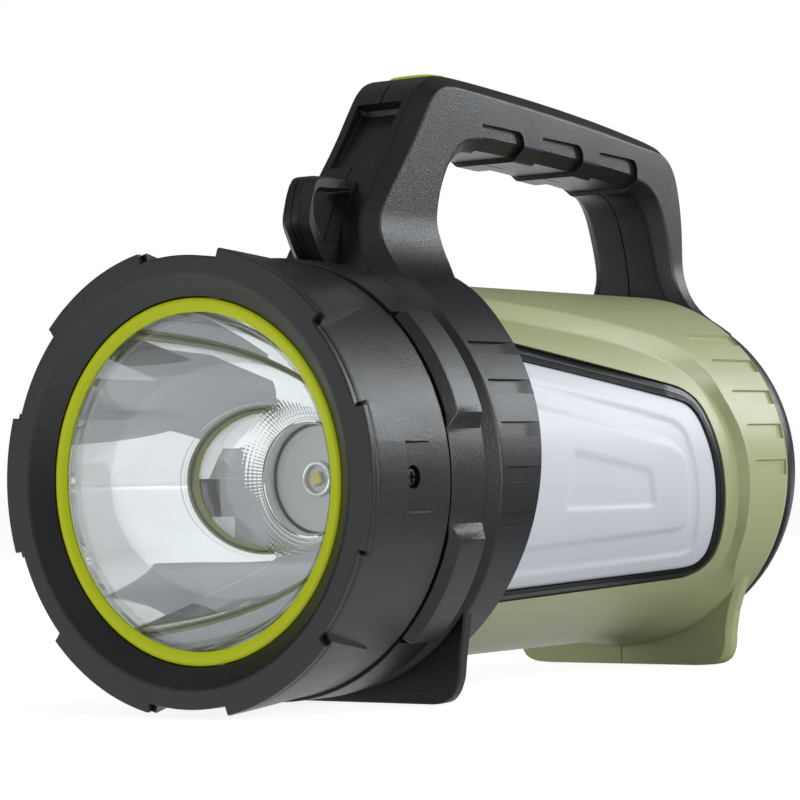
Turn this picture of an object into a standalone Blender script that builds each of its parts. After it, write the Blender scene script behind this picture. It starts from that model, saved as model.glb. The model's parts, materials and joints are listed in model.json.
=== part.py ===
"""Rechargeable searchlight with a lantern window in each side, in metres, +Z up.

The lens looks along -Y, and the lamp stands on two feet at z = 0. Most pieces are laid out in lamp
coordinates: x across, station back from the front of the bezel, rise above the lens axis.
"""

import math

import bmesh
import bpy
from mathutils import Matrix, Vector

# Running gap between pieces that touch, and how far a cutter runs past what it cuts
GAP = 0.0003
OVERRUN = 0.004
WALL = 0.0022
MERGE_DISTANCE = 0.00001
ROUND_STEPS = 48
SMALL_ROUND_STEPS = 12
SHARP_ANGLE = math.radians(32)

# Head: bezel with six grip lugs, screwed barrel, lens stack
HEAD_RADIUS = 0.060
LUG_COUNT = 6
LUG_HALF_ANGLE = math.radians(17.2)
LUG_HEIGHT = 0.0025
FLOOR_GAP = 0.00105
BEZEL_THICKNESS = 0.0018
BEZEL_SLEEVE_LENGTH = 0.0062
BEZEL_SLEEVE_SINK = 0.0029
BEZEL_FACE_WIDTH = 0.0050
BEZEL_CONE_DEPTH = 0.0046
BEZEL_CONE_WIDTH = 0.0054
TRIM_RING_WIDTH = 0.0037
TRIM_RING_DEPTH = 0.0037
LENS_THICKNESS = 0.0020
LENS_LAP = 0.0033
SEAL_THICKNESS = 0.0016
SEAL_WIDTH = 0.0019
BARREL_LENGTH = 0.0344
BARREL_WALL = 0.0029
BARREL_LEDGE_DEPTH = 0.0020
BARREL_LEDGE_WIDTH = 0.0030
PAD_LENGTH = 0.0254
PAD_TIP_HALF_ANGLE = math.radians(10.0)
PAD_TIP_SINK = 0.0002
PAD_STEPS = 4
NOTCH_HALF_ANGLE = math.radians(8.6)
NOTCH_DEPTH = 0.0006
NOTCH_START = 0.0161
SIDE_SCREW_STATION = 0.0203
SIDE_SCREW_HEAD_RADIUS = 0.0026
SIDE_SCREW_HEAD_HEIGHT = 0.0016
SIDE_SCREW_SHANK_RADIUS = 0.0013
SIDE_SCREW_LENGTH = 0.0052
HEAD_CROWN_SHARE = 0.78
HEAD_SIDE_SHARE = 0.60
CROSS_WIDTH = 0.0008
CROSS_LENGTH = 0.0031
CROSS_DEPTH = 0.0009

# Reflector, light source and heat sink
REFLECTOR_FLANGE_THICKNESS = 0.0013
REFLECTOR_WALL = 0.0014
REFLECTOR_NECK_RADIUS = 0.0162
REFLECTOR_NECK_STATION = 0.0535
REFLECTOR_COLLAR_BORE = 0.0147
REFLECTOR_COLLAR_LENGTH = 0.0035
REFLECTOR_STEPS = 6
LED_BOARD_RADIUS = 0.0143
LED_BOARD_THICKNESS = 0.0016
LED_DOME_RADIUS = 0.0049
LED_DOME_HEIGHT = 0.0022
LED_DOME_STEPS = 3
BULKHEAD_THICKNESS = 0.0010
LEAD_HOLE_RADIUS = 0.0034
HEAT_SINK_RADIUS = 0.0230
HEAT_SINK_CORE_RADIUS = 0.0130
HEAT_SINK_FIN_COUNT = 4
HEAT_SINK_FIN_THICKNESS = 0.0014
HEAT_SINK_FIN_PITCH = 0.0030

# Frame: hub with side bumpers, front ring, handle, rear rim, front foot, all in two halves
HUB_LENGTH = 0.0212
HUB_DROP = 0.0010
SPIGOT_LENGTH = 0.0198
SPIGOT_WALL = 0.0022
BUMPER_RISE = 0.0021
BUMPER_LENGTH = 0.0140
BUMPER_LEAD = 0.0012
BUMPER_HALF_ANGLE = math.radians(46.0)
BUMPER_NOTCH_HALF_ANGLE = math.radians(11.8)
BUMPER_BEVEL_ANGLE = math.radians(3.4)
APRON_RISE = 0.0008
RING_RISE = 0.0010
RING_WIDTH = 0.0190
RING_WALL = 0.0042
RING_EDGE_BEVEL = 0.0012
RING_LEAN_SHARE = 0.17
FOOT_THICKNESS = 0.0036
HANDLE_RISE = 0.1117
HANDLE_HALF_WIDTH = 0.0140
HANDLE_CHAMFER = 0.0040
HANDLE_WALL = 0.0028
FLARE_START = 0.0180
FLARE_RADIUS = 0.0220
REAR_FLARE_START = 0.0120
RIM_LENGTH = 0.0087
RIM_WALL = 0.0063
RIM_TAPER = 0.0016
RIM_LIP_DEPTH = 0.0030
RIM_LIP_WIDTH = 0.0080
REAR_BULGE = 0.0012
TAB_HALF_WIDTH = 0.0045
TAB_NOSE_HALF_WIDTH = 0.0023
TAB_NOSE_SETBACK = 0.0022
GRIP_NOTCH_DEPTH = 0.0012
GRIP_NOTCH_HEIGHT = 0.0047
POCKET_HALF_WIDTH = 0.0076
POCKET_DEPTH = 0.0020

# Grip marks: shallow slots across the front ring and across the rear of each shell
MARK_COUNT = 5
MARK_FIRST_ANGLE = math.radians(-11.6)
MARK_PITCH = math.radians(11.6)
MARK_HALF_ANGLE = math.radians(2.0)
MARK_DEPTH = 0.0006
REAR_MARK_LENGTH = 0.0220
REAR_MARK_STEP = 0.0021
RING_MARK_LEAD = 0.0026

# Body shells, with the window field set back from the top and the rear band
SHELL_LENGTH = 0.1635
FIELD_SINK = 0.0027
SHELL_REAR_TAPER = 0.0020
SHELL_TAPER_LENGTH = 0.0040
REAR_FOOT_SETBACK = 0.0135
REAR_FOOT_THICKNESS = 0.0062
WINDOW_REACH = 0.0200
WINDOW_HALF_ANGLE = math.radians(52)
DIFFUSER_THICKNESS = 0.0018
DIFFUSER_SINK = 0.0009
TRIM_THICKNESS = 0.0042
TRIM_SINK = 0.0004
TRIM_FLANGE_WIDTH = 0.0020

# Power button in the top of the handle, its front a share of handle_span, and its switch
BUTTON_START_SHARE = 0.2526
BUTTON_LENGTH = 0.0170
BUTTON_HALF_WIDTH = 0.0070
BUTTON_CREST = 0.0016
BUTTON_TRAVEL = 0.0015
BUTTON_FLANGE_OVERHANG = 0.0015
BUTTON_FLANGE_THICKNESS = 0.0013
BUTTON_FLANGE_DROP = 0.0072
BUTTON_STEM_RADIUS = 0.0020
BUTTON_STEM_LENGTH = 0.0012
SWITCH_BODY_SIZE = 0.0060
SWITCH_BODY_HEIGHT = 0.0035
SWITCH_TIP_RADIUS = 0.0017
SWITCH_TIP_HEIGHT = 0.0006
SWITCH_BOARD_LENGTH = 0.0240
SWITCH_BOARD_HALF_WIDTH = 0.0075
BOARD_THICKNESS = 0.0016

# Rear cover with its charging inlet under a hinged rubber flap
COVER_THICKNESS = 0.0034
COVER_EDGE_BEVEL = 0.0006
COVER_SCREW_COUNT = 4
SMALL_SCREW_HEAD_RADIUS = 0.0024
SMALL_SCREW_HEAD_HEIGHT = 0.0015
SMALL_SCREW_SHANK_RADIUS = 0.0012
SMALL_SCREW_LENGTH = 0.0070
SMALL_SCREW_SINK = 0.0010
FLAP_WIDTH = 0.0240
FLAP_HEIGHT = 0.0140
FLAP_THICKNESS = 0.0014
FLAP_BARREL_RADIUS = 0.0011
FLAP_PIN_RADIUS = 0.0006
FLAP_EAR_WIDTH = 0.0024
FLAP_PULL_HALF_WIDTH = 0.0040
FLAP_PULL_LENGTH = 0.0022
FLAP_PLUG_DEPTH = 0.0006
INLET_WIDTH = 0.0092
INLET_HEIGHT = 0.0034
INLET_WALL = 0.0008
INLET_LENGTH = 0.0080
INLET_RISE = 0.0000

# Chassis, cells, boards and leads inside the body
CHASSIS_THICKNESS = 0.0020
CHASSIS_DROP_SHARE = 0.30
CHASSIS_HOOP_WIDTH = 0.0042
CHASSIS_SETBACK = 0.0145
CHASSIS_LENGTH_SHARE = 0.68
CHASSIS_WALL_TOP = 0.0100
LANTERN_BOARD_INSET = 0.0034
LANTERN_BOARD_SETBACK = 0.0090
LANTERN_BOARD_LENGTH_SHARE = 0.56
LANTERN_BOARD_HEIGHT = 0.0180
LANTERN_LED_COUNT = 6
LANTERN_LED_SIZE = 0.0030
LANTERN_LED_HEIGHT = 0.0009
CELL_RADIUS = 0.0092
CELL_LENGTH = 0.0650
CELL_PITCH = 0.0200
CELL_COUNT = 2
HOLDER_SETBACK = 0.0200
HOLDER_WALL = 0.0014
HOLDER_WRAP = 0.0030
MAIN_BOARD_WIDTH = 0.0500
MAIN_BOARD_SETBACK = 0.0110
MAIN_BOARD_LENGTH = 0.0800
COIL_RADIUS = 0.0060
COIL_HEIGHT = 0.0070
CHIP_SIZE = 0.0070
CHIP_HEIGHT = 0.0016
LEAD_RADIUS = 0.0008
LEAD_PITCH = 0.0030
LEAD_BEND_SHARES = ((0.18, 0.0), (0.36, 0.2), (0.72, 0.8), (0.90, 1.0))

# Case screws that pull the frame halves together, from the left side
CASE_SCREW_HEAD_RADIUS = 0.0029
CASE_SCREW_HEAD_HEIGHT = 0.0018
CASE_SCREW_SHANK_RADIUS = 0.0013
CASE_SCREW_SHANK_LENGTH = 0.0120
CASE_BOSS_RADIUS = 0.0042
CASE_SCREW_SINK = 0.0008

# Sizes worked out from those above
gap_radius = HEAD_RADIUS - LUG_HEIGHT
axis_height = HEAD_RADIUS * math.sin(math.radians(60) + LUG_HALF_ANGLE) + FLOOR_GAP
bezel_sleeve_radius = gap_radius - BEZEL_SLEEVE_SINK
cone_mouth_radius = gap_radius - BEZEL_FACE_WIDTH
bezel_bore = cone_mouth_radius - BEZEL_CONE_WIDTH
trim_ring_outer = bezel_bore - GAP
trim_ring_inner = trim_ring_outer - TRIM_RING_WIDTH
reflector_mouth_radius = trim_ring_outer - GAP
bezel_rear = BEZEL_THICKNESS + BEZEL_SLEEVE_LENGTH
lens_front = bezel_rear + GAP
lens_radius = bezel_bore + LENS_LAP
seal_front = lens_front + LENS_THICKNESS + GAP
reflector_front = seal_front + SEAL_THICKNESS + GAP
reflector_flange_rear = reflector_front + REFLECTOR_FLANGE_THICKNESS
barrel_front = BEZEL_THICKNESS + GAP
barrel_rear = barrel_front + BARREL_LENGTH
barrel_radius = gap_radius
barrel_bore = barrel_radius - BARREL_WALL
hub_front = barrel_rear + GAP
hub_radius = barrel_radius - HUB_DROP
spigot_radius = barrel_bore - GAP
hub_bore = spigot_radius - SPIGOT_WALL
ring_front = hub_front + HUB_LENGTH
ring_radius = barrel_radius + RING_RISE
apron_radius = barrel_radius + APRON_RISE
bumper_front = hub_front + BUMPER_LEAD
bumper_radius = barrel_radius + BUMPER_RISE
bumper_inner = hub_radius + GAP
shell_front = ring_front + WALL + GAP
shell_rear = shell_front + SHELL_LENGTH
shell_radius = ring_radius - RING_WALL - GAP
shell_field_radius = shell_radius - FIELD_SINK
ring_bore = shell_radius + GAP
rear_foot_station = shell_rear - REAR_FOOT_SETBACK
rim_front = shell_rear + GAP
rim_rear = rim_front + RIM_LENGTH
rim_radius = shell_radius - SHELL_REAR_TAPER
rim_bore = rim_radius - RIM_TAPER - RIM_WALL
lip_bore = rim_bore - RIM_LIP_WIDTH
cover_screw_circle = (lip_bore + rim_bore) / 2
overall_length = rim_rear + REAR_BULGE
led_board_front = REFLECTOR_NECK_STATION + REFLECTOR_COLLAR_LENGTH + GAP
bulkhead_front = led_board_front + LED_BOARD_THICKNESS + GAP
bulkhead_rear = bulkhead_front + BULKHEAD_THICKNESS
heat_sink_front = bulkhead_rear + GAP
heat_sink_rear = heat_sink_front + (HEAT_SINK_FIN_COUNT - 1) * HEAT_SINK_FIN_PITCH + HEAT_SINK_FIN_THICKNESS
cover_front = rim_front + RIM_LIP_DEPTH + GAP
cover_rear = cover_front + COVER_THICKNESS
inner_radius = shell_field_radius - WALL
trim_inner = shell_field_radius - TRIM_SINK - TRIM_THICKNESS
chassis_drop = CHASSIS_DROP_SHARE * trim_inner
chassis_front = shell_front + CHASSIS_SETBACK
chassis_length = CHASSIS_LENGTH_SHARE * SHELL_LENGTH
lantern_board_start = chassis_front + LANTERN_BOARD_SETBACK
lantern_board_length = LANTERN_BOARD_LENGTH_SHARE * SHELL_LENGTH
holder_start = chassis_front + HOLDER_SETBACK
main_board_start = chassis_front + MAIN_BOARD_SETBACK
handle_span = overall_length - ring_front
foot_station = ring_front - GAP
button_start = ring_front + BUTTON_START_SHARE * handle_span
button_middle = button_start + BUTTON_LENGTH / 2
button_base = HANDLE_RISE - BUTTON_FLANGE_DROP
switch_top = button_base - BUTTON_STEM_LENGTH - BUTTON_TRAVEL - GAP / 2
switch_body_top = switch_top - SWITCH_TIP_HEIGHT
switch_board_top = switch_body_top - SWITCH_BODY_HEIGHT - GAP
switch_board_low = switch_board_top - BOARD_THICKNESS

# Handle outline, as shares of handle_span behind the ring's front and of HANDLE_RISE above the axis:
# outer edge station and rise, then the facing inner edge
HANDLE_SHARES = (
    (0.006, 0.340, 0.170, 0.340),
    (0.008, 0.403, 0.190, 0.403),
    (0.012, 0.457, 0.213, 0.457),
    (0.019, 0.510, 0.230, 0.510),
    (0.029, 0.568, 0.238, 0.568),
    (0.041, 0.627, 0.238, 0.627),
    (0.060, 0.676, 0.242, 0.667),
    (0.094, 0.748, 0.251, 0.707),
    (0.139, 0.840, 0.267, 0.750),
    (0.173, 0.916, 0.285, 0.782),
    (0.196, 0.963, 0.300, 0.800),
    (0.219, 0.989, 0.313, 0.810),
    (0.250, 1.000, 0.332, 0.815),
    (0.306, 1.000, 0.363, 0.815),
    (0.437, 0.987, 0.465, 0.808),
    (0.579, 0.969, 0.579, 0.797),
    (0.721, 0.946, 0.692, 0.785),
    (0.834, 0.923, 0.783, 0.774),
    (0.902, 0.907, 0.823, 0.766),
    (0.939, 0.892, 0.843, 0.760),
    (0.966, 0.862, 0.860, 0.748),
    (0.982, 0.819, 0.876, 0.727),
    (0.993, 0.757, 0.890, 0.694),
    (0.999, 0.689, 0.902, 0.649),
    (1.000, 0.627, 0.912, 0.602),
    (1.000, 0.555, 0.920, 0.542),
    (0.999, 0.483, 0.923, 0.479),
    (0.998, 0.412, 0.924, 0.412),
    (0.996, 0.340, 0.924, 0.340),
)
HANDLE_MIDDLE_SHARE = 0.5
CAVITY_SKIP_COUNT = 2
CAVITY_ROW_COUNT = 24

# Lanyard tab and its eye, as shares of handle_span behind the ring's front and of HANDLE_RISE
TAB_SHARES = (
    (0.085, 0.724),
    (-0.018, 0.727),
    (-0.037, 0.720),
    (-0.049, 0.681),
    (-0.059, 0.627),
    (-0.057, 0.604),
    (-0.032, 0.537),
    (-0.008, 0.505),
    (0.060, 0.490),
)
EYE_SHARES = (
    (-0.022, 0.697),
    (0.066, 0.701),
    (0.046, 0.645),
    (0.029, 0.591),
    (0.017, 0.551),
    (-0.003, 0.551),
    (-0.034, 0.618),
    (-0.035, 0.671),
)

# Finger notches of the grip: first and last station as shares of handle_span
GRIP_NOTCH_SHARES = ((0.350, 0.471), (0.528, 0.653), (0.705, 0.829))

# Front pocket of the handle: share of the way along the sloping face, low and high end
POCKET_SHARES = (0.30, 0.86)

# Feet seen from the front, as shares of the ring radius across and of the axis height down
FRONT_FOOT_SHARES = (
    (0.800, 0.540),
    (0.777, 0.700),
    (0.762, 0.800),
    (0.752, 0.885),
    (0.728, 0.945),
    (0.690, 0.985),
    (0.630, 1.000),
)
REAR_FOOT_SHARES = (
    (0.700, 0.400),
    (0.748, 0.442),
    (0.711, 0.521),
    (0.672, 0.620),
    (0.653, 0.725),
    (0.650, 0.861),
    (0.620, 0.952),
    (0.570, 0.994),
    (0.490, 1.000),
)

# Edges of the window field's bevel on the shell: share of the shell's length, then share of a
# quarter turn above the level of the axis; first where it meets the full surface, then the field
FIELD_OUTER_SHARES = (
    (-0.492, 1.020),
    (0.257, 0.720),
    (0.514, 0.616),
    (0.706, 0.506),
    (0.771, 0.386),
    (0.797, 0.246),
    (0.819, 0.134),
    (0.833, 0.029),
    (0.841, -0.076),
    (0.850, -0.220),
    (0.860, -0.337),
    (0.882, -0.400),
    (0.901, -0.470),
    (0.908, -0.602),
    (0.902, -0.752),
    (0.905, -1.000),
)
FIELD_INNER_SHARES = (
    (-0.741, 1.020),
    (0.262, 0.629),
    (0.525, 0.526),
    (0.688, 0.422),
    (0.763, 0.322),
    (0.806, 0.143),
    (0.827, -0.079),
    (0.846, -0.271),
    (0.844, -0.427),
    (0.835, -0.553),
    (0.815, -0.666),
    (0.794, -0.758),
    (0.785, -1.000),
)
SHELL_ROW_SHARES = (
    (1.00, 0.92, 0.82, 0.77, 0.72, 0.67, 0.62, 0.56, 0.50, 0.45, 0.39, 0.32, 0.25, 0.18, 0.10, 0.03)
    + (-0.05, -0.14, -0.22, -0.33, -0.43, -0.52, -0.60, -0.68, -0.76, -0.84, -0.92, -1.00)
)

# Window seen from the side: share of the shell's length, rise as a share of the shell radius
WINDOW_SHARES = (
    (0.028, 0.660),
    (0.680, 0.378),
    (0.707, 0.350),
    (0.726, 0.285),
    (0.748, 0.090),
    (0.764, -0.130),
    (0.786, -0.400),
    (0.787, -0.470),
    (0.772, -0.520),
    (0.740, -0.540),
    (0.028, -0.595),
)
TRIM_SHARES = (
    (0.018, 0.760),
    (0.710, 0.442),
    (0.752, 0.380),
    (0.771, 0.300),
    (0.792, 0.090),
    (0.812, -0.140),
    (0.828, -0.400),
    (0.826, -0.490),
    (0.800, -0.560),
    (0.750, -0.590),
    (0.018, -0.648),
)

# Case screws: share of handle_span behind the ring's front and of HANDLE_RISE above the axis
CASE_SCREW_SHARES = ((0.235, 0.745), (0.860, 0.838), (0.955, 0.600))

# Planes that outlines are drawn in: side view (station, rise) and front view (x, rise)
SIDE_VIEW = Matrix(((0, 0, 1), (1, 0, 0), (0, 1, 0)))
FRONT_VIEW = Matrix(((1, 0, 0), (0, 0, -1), (0, 1, 0)))

# Colour, roughness and metallic value of each finish
FINISHES = {
    "graphite_plastic": ((0.070, 0.078, 0.088), 0.55, 0.0),
    "black_plastic": ((0.020, 0.021, 0.024), 0.50, 0.0),
    "sage_plastic": ((0.400, 0.430, 0.235), 0.55, 0.0),
    "lime_plastic": ((0.520, 0.580, 0.015), 0.35, 0.0),
    "opal_plastic": ((0.760, 0.790, 0.850), 0.40, 0.0),
    "clear_plastic": ((0.900, 0.930, 0.940), 0.05, 0.0),
    "mirror_coating": ((0.820, 0.840, 0.850), 0.08, 1.0),
    "black_rubber": ((0.030, 0.030, 0.032), 0.70, 0.0),
    "red_rubber": ((0.450, 0.030, 0.030), 0.60, 0.0),
    "plated_steel": ((0.300, 0.300, 0.310), 0.35, 1.0),
    "aluminium": ((0.600, 0.610, 0.620), 0.40, 1.0),
    "green_board": ((0.030, 0.160, 0.070), 0.45, 0.0),
    "white_board": ((0.750, 0.760, 0.760), 0.45, 0.0),
    "cell_wrap": ((0.080, 0.240, 0.420), 0.40, 0.0),
    "yellow_phosphor": ((0.850, 0.700, 0.200), 0.40, 0.0),
}


def clear_scene():
    for obj in list(bpy.data.objects):
        bpy.data.objects.remove(obj)


def new_collection(name):
    collection = bpy.data.collections.new(name)
    bpy.context.scene.collection.children.link(collection)
    return collection


def finish_of(finish, piece):
    """A material for one piece, with the colour, roughness and metallic value of its finish."""
    colour, roughness, metallic = FINISHES[finish]
    material = bpy.data.materials.new(piece + "_" + finish)
    material.use_nodes = True
    shader = material.node_tree.nodes["Principled BSDF"]
    shader.inputs["Base Color"].default_value = (*colour, 1.0)
    shader.inputs["Roughness"].default_value = roughness
    shader.inputs["Metallic"].default_value = metallic
    return material


def lamp_point(x, station, rise):
    """Lamp coordinates as a point of the object's own frame."""
    return Vector((x, station - overall_length / 2, axis_height + rise))


def polar_point(radius, station, angle):
    return lamp_point(radius * math.cos(angle), station, radius * math.sin(angle))


def add_object(name, mesh, finish):
    """A named piece when it has a finish, else a hidden cutter or joining form."""
    obj = bpy.data.objects.new(name, mesh)
    if finish:
        parts.objects.link(obj)
        obj.data.materials.clear()
        obj.data.materials.append(finish_of(finish, name))
    else:
        cutters.objects.link(obj)
        obj.hide_render = True
        obj.display_type = "WIRE"
    return obj


def mesh_object(name, bm, finish=None):
    bmesh.ops.recalc_face_normals(bm, faces=bm.faces)
    mesh = bpy.data.meshes.new(name)
    bm.to_mesh(mesh)
    bm.free()
    mesh.shade_smooth()
    mesh.set_sharp_from_angle(angle=SHARP_ANGLE)
    return add_object(name, mesh, finish)


def loft(name, sections, finish=None):
    """A closed solid through sections that have the same number of points."""
    bm = bmesh.new()
    rings = [[bm.verts.new(point) for point in section] for section in sections]
    count = len(rings[0])
    for ring, following in zip(rings, rings[1:]):
        for i in range(count):
            j = (i + 1) % count
            bm.faces.new((ring[i], ring[j], following[j], following[i]))
    bm.faces.new(rings[0])
    bm.faces.new(reversed(rings[-1]))
    return mesh_object(name, bm, finish)


def applied(obj):
    """The mesh of an object with its modifiers applied, placed where the object stands."""
    bpy.context.view_layer.update()
    graph = bpy.context.evaluated_depsgraph_get()
    mesh = bpy.data.meshes.new_from_object(obj.evaluated_get(graph))
    bm = bmesh.new()
    bm.from_mesh(mesh)
    bmesh.ops.transform(bm, matrix=obj.matrix_world, verts=bm.verts)
    bpy.data.meshes.remove(mesh)
    return bm


def extruded(name, outline, low, high, turn, finish):
    """A flat outline extruded between two depths along the axis that turn gives it."""
    curve = bpy.data.curves.new(name, "CURVE")
    curve.dimensions = "2D"
    curve.fill_mode = "BOTH"
    curve.extrude = (high - low) / 2
    spline = curve.splines.new("POLY")
    spline.points.add(len(outline) - 1)
    for spot, (across, up) in zip(spline.points, outline):
        spot.co = (across, up, 0, 1)
    spline.use_cyclic_u = True
    flat = bpy.data.objects.new(name, curve)
    cutters.objects.link(flat)
    middle = turn @ Vector((0, 0, (low + high) / 2))
    flat.matrix_world = Matrix.Translation(lamp_point(0, 0, 0) + middle) @ turn.to_4x4()
    bm = applied(flat)
    bmesh.ops.remove_doubles(bm, verts=bm.verts, dist=MERGE_DISTANCE)
    bpy.data.objects.remove(flat)
    return mesh_object(name, bm, finish)


def prism_x(name, outline, low, high, finish=None):
    """A side-view outline of (station, rise) carried across from low to high x."""
    return extruded(name, outline, low, high, SIDE_VIEW, finish)


def prism_y(name, outline, low, high, finish=None):
    """A front-view outline of (x, rise) carried back from low to high station."""
    return extruded(name, outline, -high, -low, FRONT_VIEW, finish)


def box(name, low, high, finish=None):
    """A block between two corners in lamp coordinates."""
    low_corner = lamp_point(*low)
    high_corner = lamp_point(*high)
    bm = bmesh.new()
    bmesh.ops.create_cube(bm, size=1)
    bmesh.ops.scale(bm, vec=high_corner - low_corner, verts=bm.verts)
    bmesh.ops.translate(bm, vec=(low_corner + high_corner) / 2, verts=bm.verts)
    return mesh_object(name, bm, finish)


def cylinder(name, centre, direction, radius, length, steps=SMALL_ROUND_STEPS, finish=None):
    """A rod from centre along a direction, in lamp coordinates."""
    bm = bmesh.new()
    bmesh.ops.create_cone(
        bm, cap_ends=True, segments=steps, radius1=radius, radius2=radius, depth=length
    )
    turn = Vector((0, 0, 1)).rotation_difference(Vector(direction)).to_matrix().to_4x4()
    half = Matrix.Translation(Vector((0, 0, length / 2)))
    bmesh.ops.transform(bm, matrix=Matrix.Translation(lamp_point(*centre)) @ turn @ half, verts=bm.verts)
    return mesh_object(name, bm, finish)


def arc_block(name, profile, start, end, steps, finish=None):
    """A (radius, station) profile swept about the lens axis between two angles."""
    sections = []
    for i in range(steps + 1):
        angle = start + (end - start) * i / steps
        sections.append([polar_point(radius, station, angle) for radius, station in profile])
    return loft(name, sections, finish)


def turned(name, profile, finish=None, steps=ROUND_STEPS, place=None):
    """A (radius, station) profile turned all round the lens axis, or the Y axis of a place.

    A profile that starts and ends on the axis is open, and any other is a closed loop.
    """
    open_profile = profile[0][0] == 0 and profile[-1][0] == 0
    pairs = list(zip(profile, profile[1:] + profile[:1]))
    area = sum(a[0] * b[1] - b[0] * a[1] for a, b in pairs)
    points = profile if area < 0 else profile[::-1]
    mesh = bpy.data.meshes.new(name)
    last = len(points) - 1
    edges = [(i, i + 1) for i in range(last)]
    if not open_profile:
        edges.append((last, 0))
    mesh.from_pydata([(radius, station, 0) for radius, station in points], edges, [])
    obj = add_object(name, mesh, finish)
    obj.matrix_world = place or Matrix.Translation(lamp_point(0, 0, 0))
    screw = obj.modifiers.new("turn", "SCREW")
    screw.axis = "Y"
    screw.steps = steps
    screw.render_steps = steps
    screw.use_merge_vertices = True
    screw.merge_threshold = MERGE_DISTANCE
    screw.use_normal_calculate = False
    return obj


def combine(target, tool, operation):
    boolean = target.modifiers.new(tool.name, "BOOLEAN")
    boolean.operation = operation
    boolean.solver = "EXACT"
    boolean.object = tool
    return target


def cut(target, *tools):
    for tool in tools:
        combine(target, tool, "DIFFERENCE")
    return target


def join(target, *tools):
    for tool in tools:
        combine(target, tool, "UNION")
    return target


def settled(obj, name, finish, mirrored=False):
    """A piece of its own from an object with its modifiers applied, mirrored across x if asked."""
    bm = applied(obj)
    if mirrored:
        bmesh.ops.scale(bm, vec=(-1, 1, 1), verts=bm.verts)
        bmesh.ops.reverse_faces(bm, faces=bm.faces)
    mesh = bpy.data.meshes.new(name)
    bm.to_mesh(mesh)
    bm.free()
    return add_object(name, mesh, finish)


def handle_point(span_share, rise_share):
    return ring_front + span_share * handle_span, rise_share * HANDLE_RISE


def flare_width(rise, flare_start):
    """Half the handle's width at a rise: straight above, spreading on to the body below."""
    below = max(0, shell_radius + flare_start - rise)
    return HANDLE_HALF_WIDTH + below * below / (2 * FLARE_RADIUS)


def handle_sections(first, last, inset):
    """Eight-sided sections of the handle, drawn in by a wall thickness for its cavity."""
    sections = []
    for row in HANDLE_SHARES[first : last + 1]:
        outer = Vector(handle_point(row[0], row[1]))
        inner = Vector(handle_point(row[2], row[3]))
        along = (inner - outer).normalized()
        flare_start = FLARE_START if row[0] < HANDLE_MIDDLE_SHARE else REAR_FLARE_START
        half_width = flare_width((outer.y + inner.y) / 2, flare_start) - inset
        outer = outer + along * inset
        inner = inner - along * inset
        outer_side = outer + along * HANDLE_CHAMFER
        inner_side = inner - along * HANDLE_CHAMFER
        narrow = half_width - HANDLE_CHAMFER
        corners = (
            (-narrow, outer),
            (narrow, outer),
            (half_width, outer_side),
            (half_width, inner_side),
            (narrow, inner),
            (-narrow, inner),
            (-half_width, inner_side),
            (-half_width, outer_side),
        )
        sections.append([lamp_point(x, point.x, point.y) for x, point in corners])
    return sections


def make_bezel():
    bezel = turned(
        "bezel_ring",
        [
            (cone_mouth_radius, 0),
            (gap_radius, 0),
            (gap_radius, BEZEL_THICKNESS),
            (bezel_sleeve_radius, BEZEL_THICKNESS),
            (bezel_sleeve_radius, bezel_rear),
            (bezel_bore, bezel_rear),
            (bezel_bore, BEZEL_CONE_DEPTH),
        ],
        "graphite_plastic",
    )
    for number in range(LUG_COUNT):
        middle = number * math.tau / LUG_COUNT
        lug = arc_block(
            f"bezel_lug_{number}",
            (
                (cone_mouth_radius + OVERRUN / 2, 0),
                (HEAD_RADIUS, 0),
                (HEAD_RADIUS, BEZEL_THICKNESS),
                (cone_mouth_radius + OVERRUN / 2, BEZEL_THICKNESS),
            ),
            middle - LUG_HALF_ANGLE,
            middle + LUG_HALF_ANGLE,
            5,
        )
        join(bezel, lug)


def make_lens_stack():
    crown = TRIM_RING_WIDTH / 6
    trim_front = BEZEL_CONE_DEPTH - crown / 2
    turned(
        "lens_trim_ring",
        [
            (trim_ring_outer - crown, trim_front),
            (trim_ring_outer, trim_front + crown),
            (trim_ring_outer, trim_front + TRIM_RING_DEPTH),
            (trim_ring_inner, trim_front + TRIM_RING_DEPTH),
            (trim_ring_inner, trim_front + 2.4 * crown),
            (trim_ring_inner + crown / 2, trim_front + 1.6 * crown),
            (trim_ring_outer - 2.4 * crown, trim_front),
        ],
        "lime_plastic",
    )
    turned(
        "lens",
        [(0, lens_front), (lens_radius, lens_front), (lens_radius, seal_front - GAP), (0, seal_front - GAP)],
        "clear_plastic",
    )
    seal_inner = lens_radius - SEAL_WIDTH
    turned(
        "lens_seal",
        [
            (seal_inner, seal_front),
            (lens_radius, seal_front),
            (lens_radius, seal_front + SEAL_THICKNESS),
            (seal_inner, seal_front + SEAL_THICKNESS),
        ],
        "black_rubber",
    )


def reflector_radius(station):
    """The mirror's parabola, from its mouth down to its neck."""
    depth = REFLECTOR_NECK_STATION - reflector_front
    slope = (reflector_mouth_radius**2 - REFLECTOR_NECK_RADIUS**2) / depth
    return math.sqrt(REFLECTOR_NECK_RADIUS**2 + slope * (REFLECTOR_NECK_STATION - station))


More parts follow.
